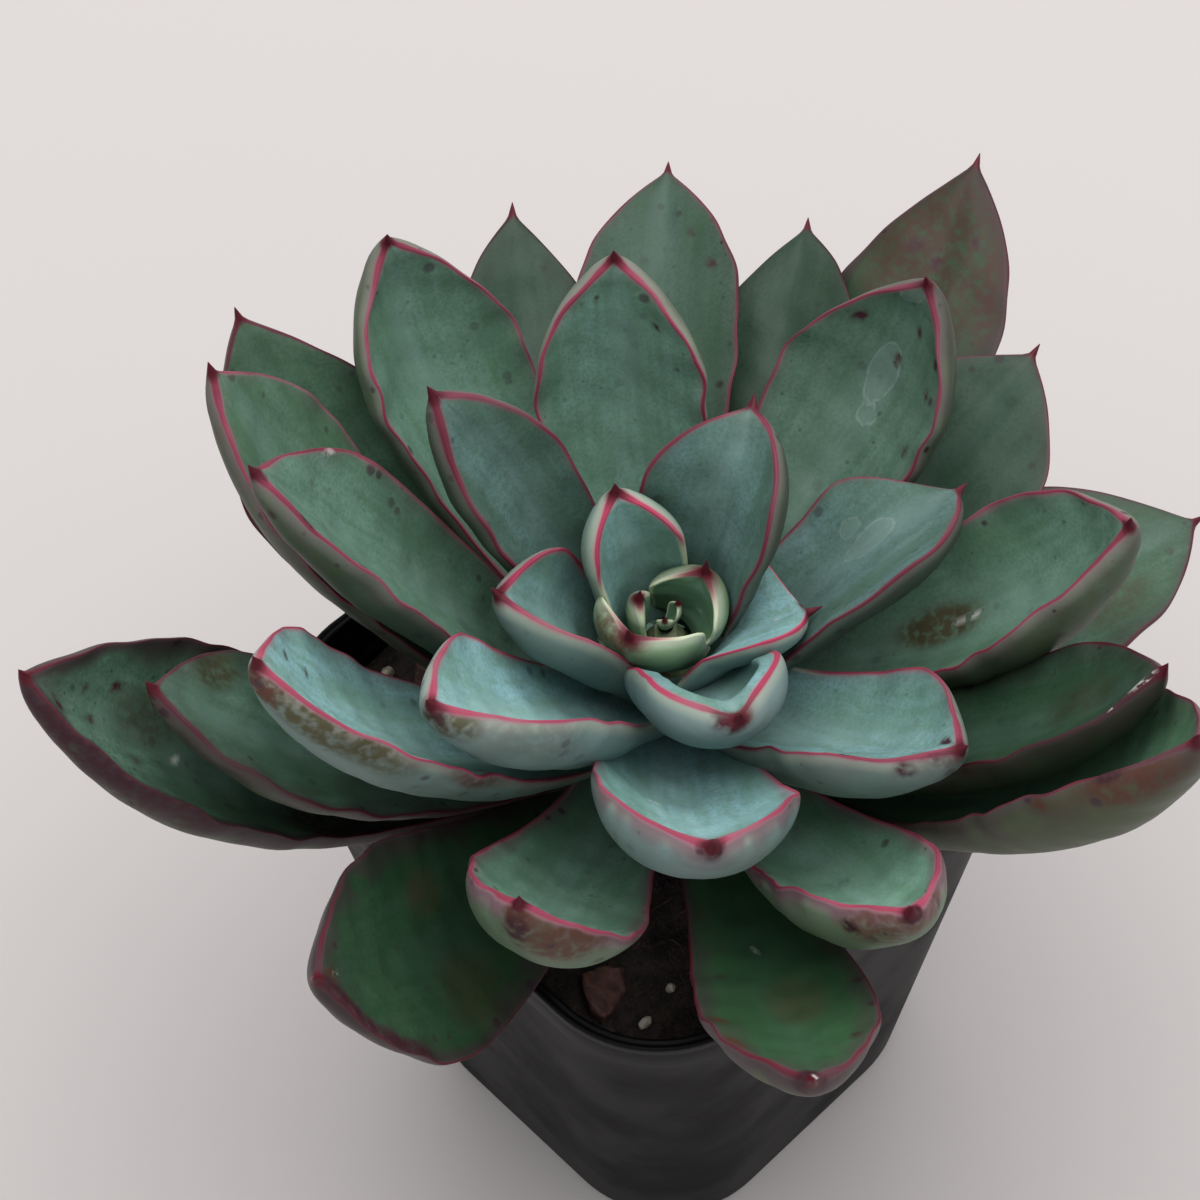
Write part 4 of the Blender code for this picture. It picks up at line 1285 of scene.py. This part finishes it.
def make_fibres(material):
    """Short bent root and peat fibres on the soil, as one piece."""
    draw = random.Random(23)
    points, faces = [], []
    for _ in range(FIBRES):
        x, y = free_soil_spot(draw, 0.004)
        heading = draw.uniform(0.0, FULL_TURN)
        reach = draw.uniform(0.0012, 0.0042)
        thick = draw.uniform(0.00006, 0.00014)
        start = len(points)
        for k in range(FIBRE_STEPS + 1):
            heading += draw.gauss(0.0, 0.25)
            x += reach / FIBRE_STEPS * math.cos(heading)
            y += reach / FIBRE_STEPS * math.sin(heading)
            taper = thick * (1.0 - 0.6 * k / FIBRE_STEPS)
            z = soil_height(x, y) + 0.0001 + 0.0003 * math.sin(math.pi * k / FIBRE_STEPS)
            side = Vector((-math.sin(heading), math.cos(heading), 0.0))
            for a in range(FIBRE_SIDES):
                turn = 2 * math.pi * a / FIBRE_SIDES
                round_it = side * math.cos(turn) + Vector((0, 0, math.sin(turn)))
                points.append(Vector((x, y, z)) + taper * round_it)
        strand = skin_faces(FIBRE_STEPS + 1, FIBRE_SIDES)
        faces += [tuple(start + i for i in face) for face in strand]
    join_piece(make_mesh("soil_fibres", points, faces), "soil", material)


# Colours of the soil, the stem and what lies about them
PEAT_DARK = (0.009, 0.006, 0.005)
PEAT_BROWN = (0.036, 0.022, 0.018)
PEAT_GRAIN = (0.120, 0.070, 0.055)
FIBRE_DARK = (0.060, 0.030, 0.020)
FIBRE_TAN = (0.150, 0.090, 0.055)
STEM_DARK = (0.160, 0.200, 0.100)
STEM_PALE = (0.250, 0.270, 0.160)
CORK_DARK = (0.110, 0.070, 0.045)
CORK_PALE = (0.210, 0.150, 0.100)
BARK_GROOVE = (0.035, 0.014, 0.011)
BARK_FACE = (0.125, 0.052, 0.038)
BARK_BLOTCH = (0.170, 0.085, 0.065)
PERLITE_PALE = (0.520, 0.480, 0.400)
PERLITE_STAIN = (0.260, 0.200, 0.140)


def soil_material():
    """Moist dark peat, red-brown in places."""
    material, tree, shader = new_material("soil")
    place = object_place(tree)
    lumps = patches(tree, place, 500.0, 0.35, 0.70, 5.0)
    grains = patches(tree, place, 2500.0, 0.50, 0.75, 4.0)
    color = color_mix(tree, lumps, PEAT_DARK, PEAT_BROWN)
    color = color_mix(tree, times(tree, grains, 0.35), color, PEAT_GRAIN)
    finish(tree, shader, color, 0.85)
    add_bump(tree, shader, cloud(tree, place, 1800.0, 6.0), 0.8, 0.0006)
    return material


def fibre_material():
    """Dry tan fibre."""
    material, tree, shader = new_material("fibre")
    tone = patches(tree, object_place(tree), 300.0, 0.3, 0.7)
    finish(tree, shader, color_mix(tree, tone, FIBRE_DARK, FIBRE_TAN), 0.8)
    return material


STEM_SIDES = 48
STEM_RINGS = 60
STEM_INSET = 0.0002
SCAR_DEPTH = 0.00015
SCAR_PITCH = 0.0021


def make_stem(material):
    """The stem, with the worn scars of old leaves round it."""
    heights = np.linspace(STEM_PROFILE[0][0], STEM_PROFILE[-1][0], STEM_RINGS)
    points = []
    for z in heights:
        for k in range(STEM_SIDES):
            turn = 2 * math.pi * k / STEM_SIDES
            scar = SCAR_DEPTH * math.sin(z / SCAR_PITCH * 2 * math.pi + 3 * math.sin(2 * turn))
            radius = float(interpolate(z, STEM_PROFILE)) + scar - STEM_INSET
            points.append(plant_centre() + around(turn, radius, float(z)))
    stem = make_mesh("stem_fine", points, skin_faces(len(heights), STEM_SIDES))
    join_piece(stem, "stem", material, "stem")


def stem_material():
    """Pale green stem, corky brown toward the soil."""
    material, tree, shader = new_material("stem")
    place = object_place(tree)
    height = put(tree, "ShaderNodeSeparateXYZ", {"Vector": place}).outputs["Z"]
    low = remap(tree, height, 0.082, 0.072)
    cork = patches(tree, place, 600.0, 0.35, 0.65, 5.0)
    green = color_mix(tree, cork, STEM_DARK, STEM_PALE)
    brown = color_mix(tree, cork, CORK_DARK, CORK_PALE)
    finish(tree, shader, color_mix(tree, low, green, brown), 0.75)
    add_bump(tree, shader, cork, 0.4, 0.0003)
    return material


# A chip's sides as shares of its height and of its reach, from its underside round to its top
BARK_LAYERS = [(0.0, 0.0), (0.0, 0.5), (0.0, 0.85), (0.12, 0.95), (0.3, 1.0), (0.45, 0.97), (0.55, 0.99),
               (0.75, 0.95), (0.9, 0.92), (1.0, 0.84), (0.97, 0.7), (0.92, 0.5), (0.90, 0.3), (0.9, 0.05)]


def bark_outline(piece, draw):
    """A chip's uneven, tapering outline, turned flat on the origin."""
    corners = []
    for k in range(BARK_CORNERS):
        angle = 2 * math.pi * (k + draw.uniform(-0.2, 0.2)) / BARK_CORNERS
        reach = draw.uniform(0.82, 1.0)
        along = piece.length / 2 * reach * math.cos(angle)
        across = piece.width / 2 * reach * math.sin(angle) * (1 - BARK_TAPER * math.cos(angle))
        corners.append(Vector((along, across, 0.0)))
    outline = []
    for corner, following in zip(corners, corners[1:] + corners[:1]):
        outline += [corner.lerp(following, k / 8) for k in range(8)]
    return outline


def make_bark_chips(material):
    """Flakes of bark with split, layered edges, lying on the soil."""
    for number, piece in enumerate(BARK, 1):
        outline = bark_outline(piece, random.Random(number))
        turn = math.radians(piece.turn)
        place = Vector((piece.x, piece.y, SOIL_TOP + FIT_GAP))
        points = []
        for lift, spread in BARK_LAYERS:
            for corner in outline:
                angle = turn + math.atan2(corner.y, corner.x)
                rough = 1.0 + 0.05 * noise.noise(Vector((corner.x, corner.y, lift * 0.002)) * 1500.0)
                point = place + around(angle, spread * rough * corner.length, lift * piece.height)
                if lift > 0.5:
                    grain = noise.noise(Vector((point.x * 700, point.y * 250, number)))
                    point.z += 0.00018 * min(grain, 0.0) + 0.0001 * noise.noise(point * 1500.0)
                point.z = min(point.z, place.z + piece.height)
                points.append(point)
        faces = skin_faces(len(BARK_LAYERS), len(outline))
        chip = make_mesh("bark_chip_%d_fine" % number, points, faces, 45.0)
        join_piece(chip, "bark", material, "bark_chip_%d" % number)


def bark_material():
    """Rough red-brown bark with darker grooves."""
    material, tree, shader = new_material("bark")
    place = object_place(tree)
    grooves = put(tree, "ShaderNodeMapping", {"Vector": place, "Scale": (1.0, 0.35, 1.0)})
    grain = patches(tree, grooves.outputs["Vector"], 1100.0, 0.35, 0.70, 5.0)
    blotch = patches(tree, place, 350.0, 0.40, 0.70, 3.0)
    color = color_mix(tree, grain, BARK_GROOVE, BARK_FACE)
    color = color_mix(tree, times(tree, blotch, 0.4), color, BARK_BLOTCH)
    finish(tree, shader, color, 0.8)
    add_bump(tree, shader, grain, 0.6, 0.0004)
    return material


def make_perlite(material):
    """Pale lumpy grains."""
    for number, piece in enumerate(PERLITE, 1):
        bm = bmesh.new()
        bmesh.ops.create_icosphere(bm, subdivisions=4, radius=0.5)
        for v in bm.verts:
            v.co *= 0.97 + 0.14 * noise.noise(3.0 * v.co + Vector((5.0 * number, 0.0, 0.0)))
            v.co *= 1.0 + 0.05 * noise.noise(14.0 * v.co)
        bmesh.ops.scale(bm, vec=(piece.length, piece.width, piece.height), verts=bm.verts)
        seat = SOIL_TOP + FIT_GAP - min(v.co.z for v in bm.verts)
        bmesh.ops.translate(bm, vec=(piece.x, piece.y, seat), verts=bm.verts)
        grain = mesh_from(bm, "perlite_%d_fine" % number)
        join_piece(grain, "perlite", material, "perlite_%d" % number)


def perlite_material():
    """Dull off-white grain, stained in its pits."""
    material, tree, shader = new_material("perlite")
    place = object_place(tree)
    stain = patches(tree, place, 1500.0, 0.40, 0.70, 4.0)
    finish(tree, shader, color_mix(tree, stain, PERLITE_PALE, PERLITE_STAIN), 0.9)
    add_bump(tree, shader, stain, 0.5, 0.0002)
    return material


# Stage

FLOOR_HALF = 3.0
FLOOR_COLOR = (0.42, 0.39, 0.38)
LAMP_PLACE = (0.22, 0.12, 1.02)
LAMP_SIZE = 1.2
LAMP_POWER = 16.0
LAMP_AIM = (0.0, 0.0, 0.09)
SURROUND_COLOR = (0.95, 0.97, 1.0, 1.0)
SURROUND_STRENGTH = 0.80


def make_floor():
    """A plain pale floor under the pot."""
    corners = [(-FLOOR_HALF, -FLOOR_HALF, 0), (FLOOR_HALF, -FLOOR_HALF, 0), (FLOOR_HALF, FLOOR_HALF, 0),
               (-FLOOR_HALF, FLOOR_HALF, 0)]
    floor = make_mesh("floor", corners, [(0, 1, 2, 3)])
    material, tree, shader = new_material("pale_floor")
    finish(tree, shader, FLOOR_COLOR, 0.9)
    floor.data.materials.append(material)


def make_lamp():
    """A soft square lamp above the rosette, a little behind it."""
    lamp = bpy.data.lights.new("window", "AREA")
    lamp.shape = "SQUARE"
    lamp.size = LAMP_SIZE
    lamp.energy = LAMP_POWER
    made = bpy.data.objects.new("window", lamp)
    aim = Vector(LAMP_AIM) - Vector(LAMP_PLACE)
    made.matrix_world = Matrix.Translation(LAMP_PLACE) @ aim.to_track_quat("-Z", "Y").to_matrix().to_4x4()
    bpy.context.scene.collection.objects.link(made)


def make_surround():
    """A pale surround, bright on every side."""
    world = bpy.data.worlds.new("surround")
    world.use_nodes = True
    background = world.node_tree.nodes["Background"]
    background.inputs["Color"].default_value = SURROUND_COLOR
    background.inputs["Strength"].default_value = SURROUND_STRENGTH
    bpy.context.scene.world = world


def make_camera():
    """The photograph's viewpoint."""
    data = bpy.data.cameras.new("camera")
    data.lens = CAMERA_LENS
    data.sensor_width = CAMERA_SENSOR
    data.clip_start = 0.01
    camera = bpy.data.objects.new("camera", data)
    turn = Matrix.Rotation(math.radians(PLANT_TURN), 4, "Z")
    tilt = Matrix.Rotation(math.radians(90.0 - CAMERA_PITCH), 4, "X")
    roll = Matrix.Rotation(math.radians(CAMERA_ROLL), 4, "Z")
    camera.matrix_world = Matrix.Translation(CAMERA_PLACE) @ turn @ tilt @ roll
    bpy.context.scene.collection.objects.link(camera)
    bpy.context.scene.camera = camera


make_camera()
make_lamp()
make_surround()
make_floor()
greens = {
    "leaf_young": leaf_material("leaf_young", YOUNG_EDGE),
    "leaf_grown": leaf_material("leaf_grown", GROWN_EDGE),
    "leaf_old": leaf_material("leaf_old", OLD_EDGE),
}
make_leaves(greens)
make_growing_tip(greens["leaf_young"])
make_pot(pot_material())
peat = soil_material()
make_soil(peat)
make_crumbs(peat)
make_fibres(fibre_material())
make_stem(stem_material())
make_bark_chips(bark_material())
make_perlite(perlite_material())
bpy.context.scene.view_settings.view_transform = "Standard"
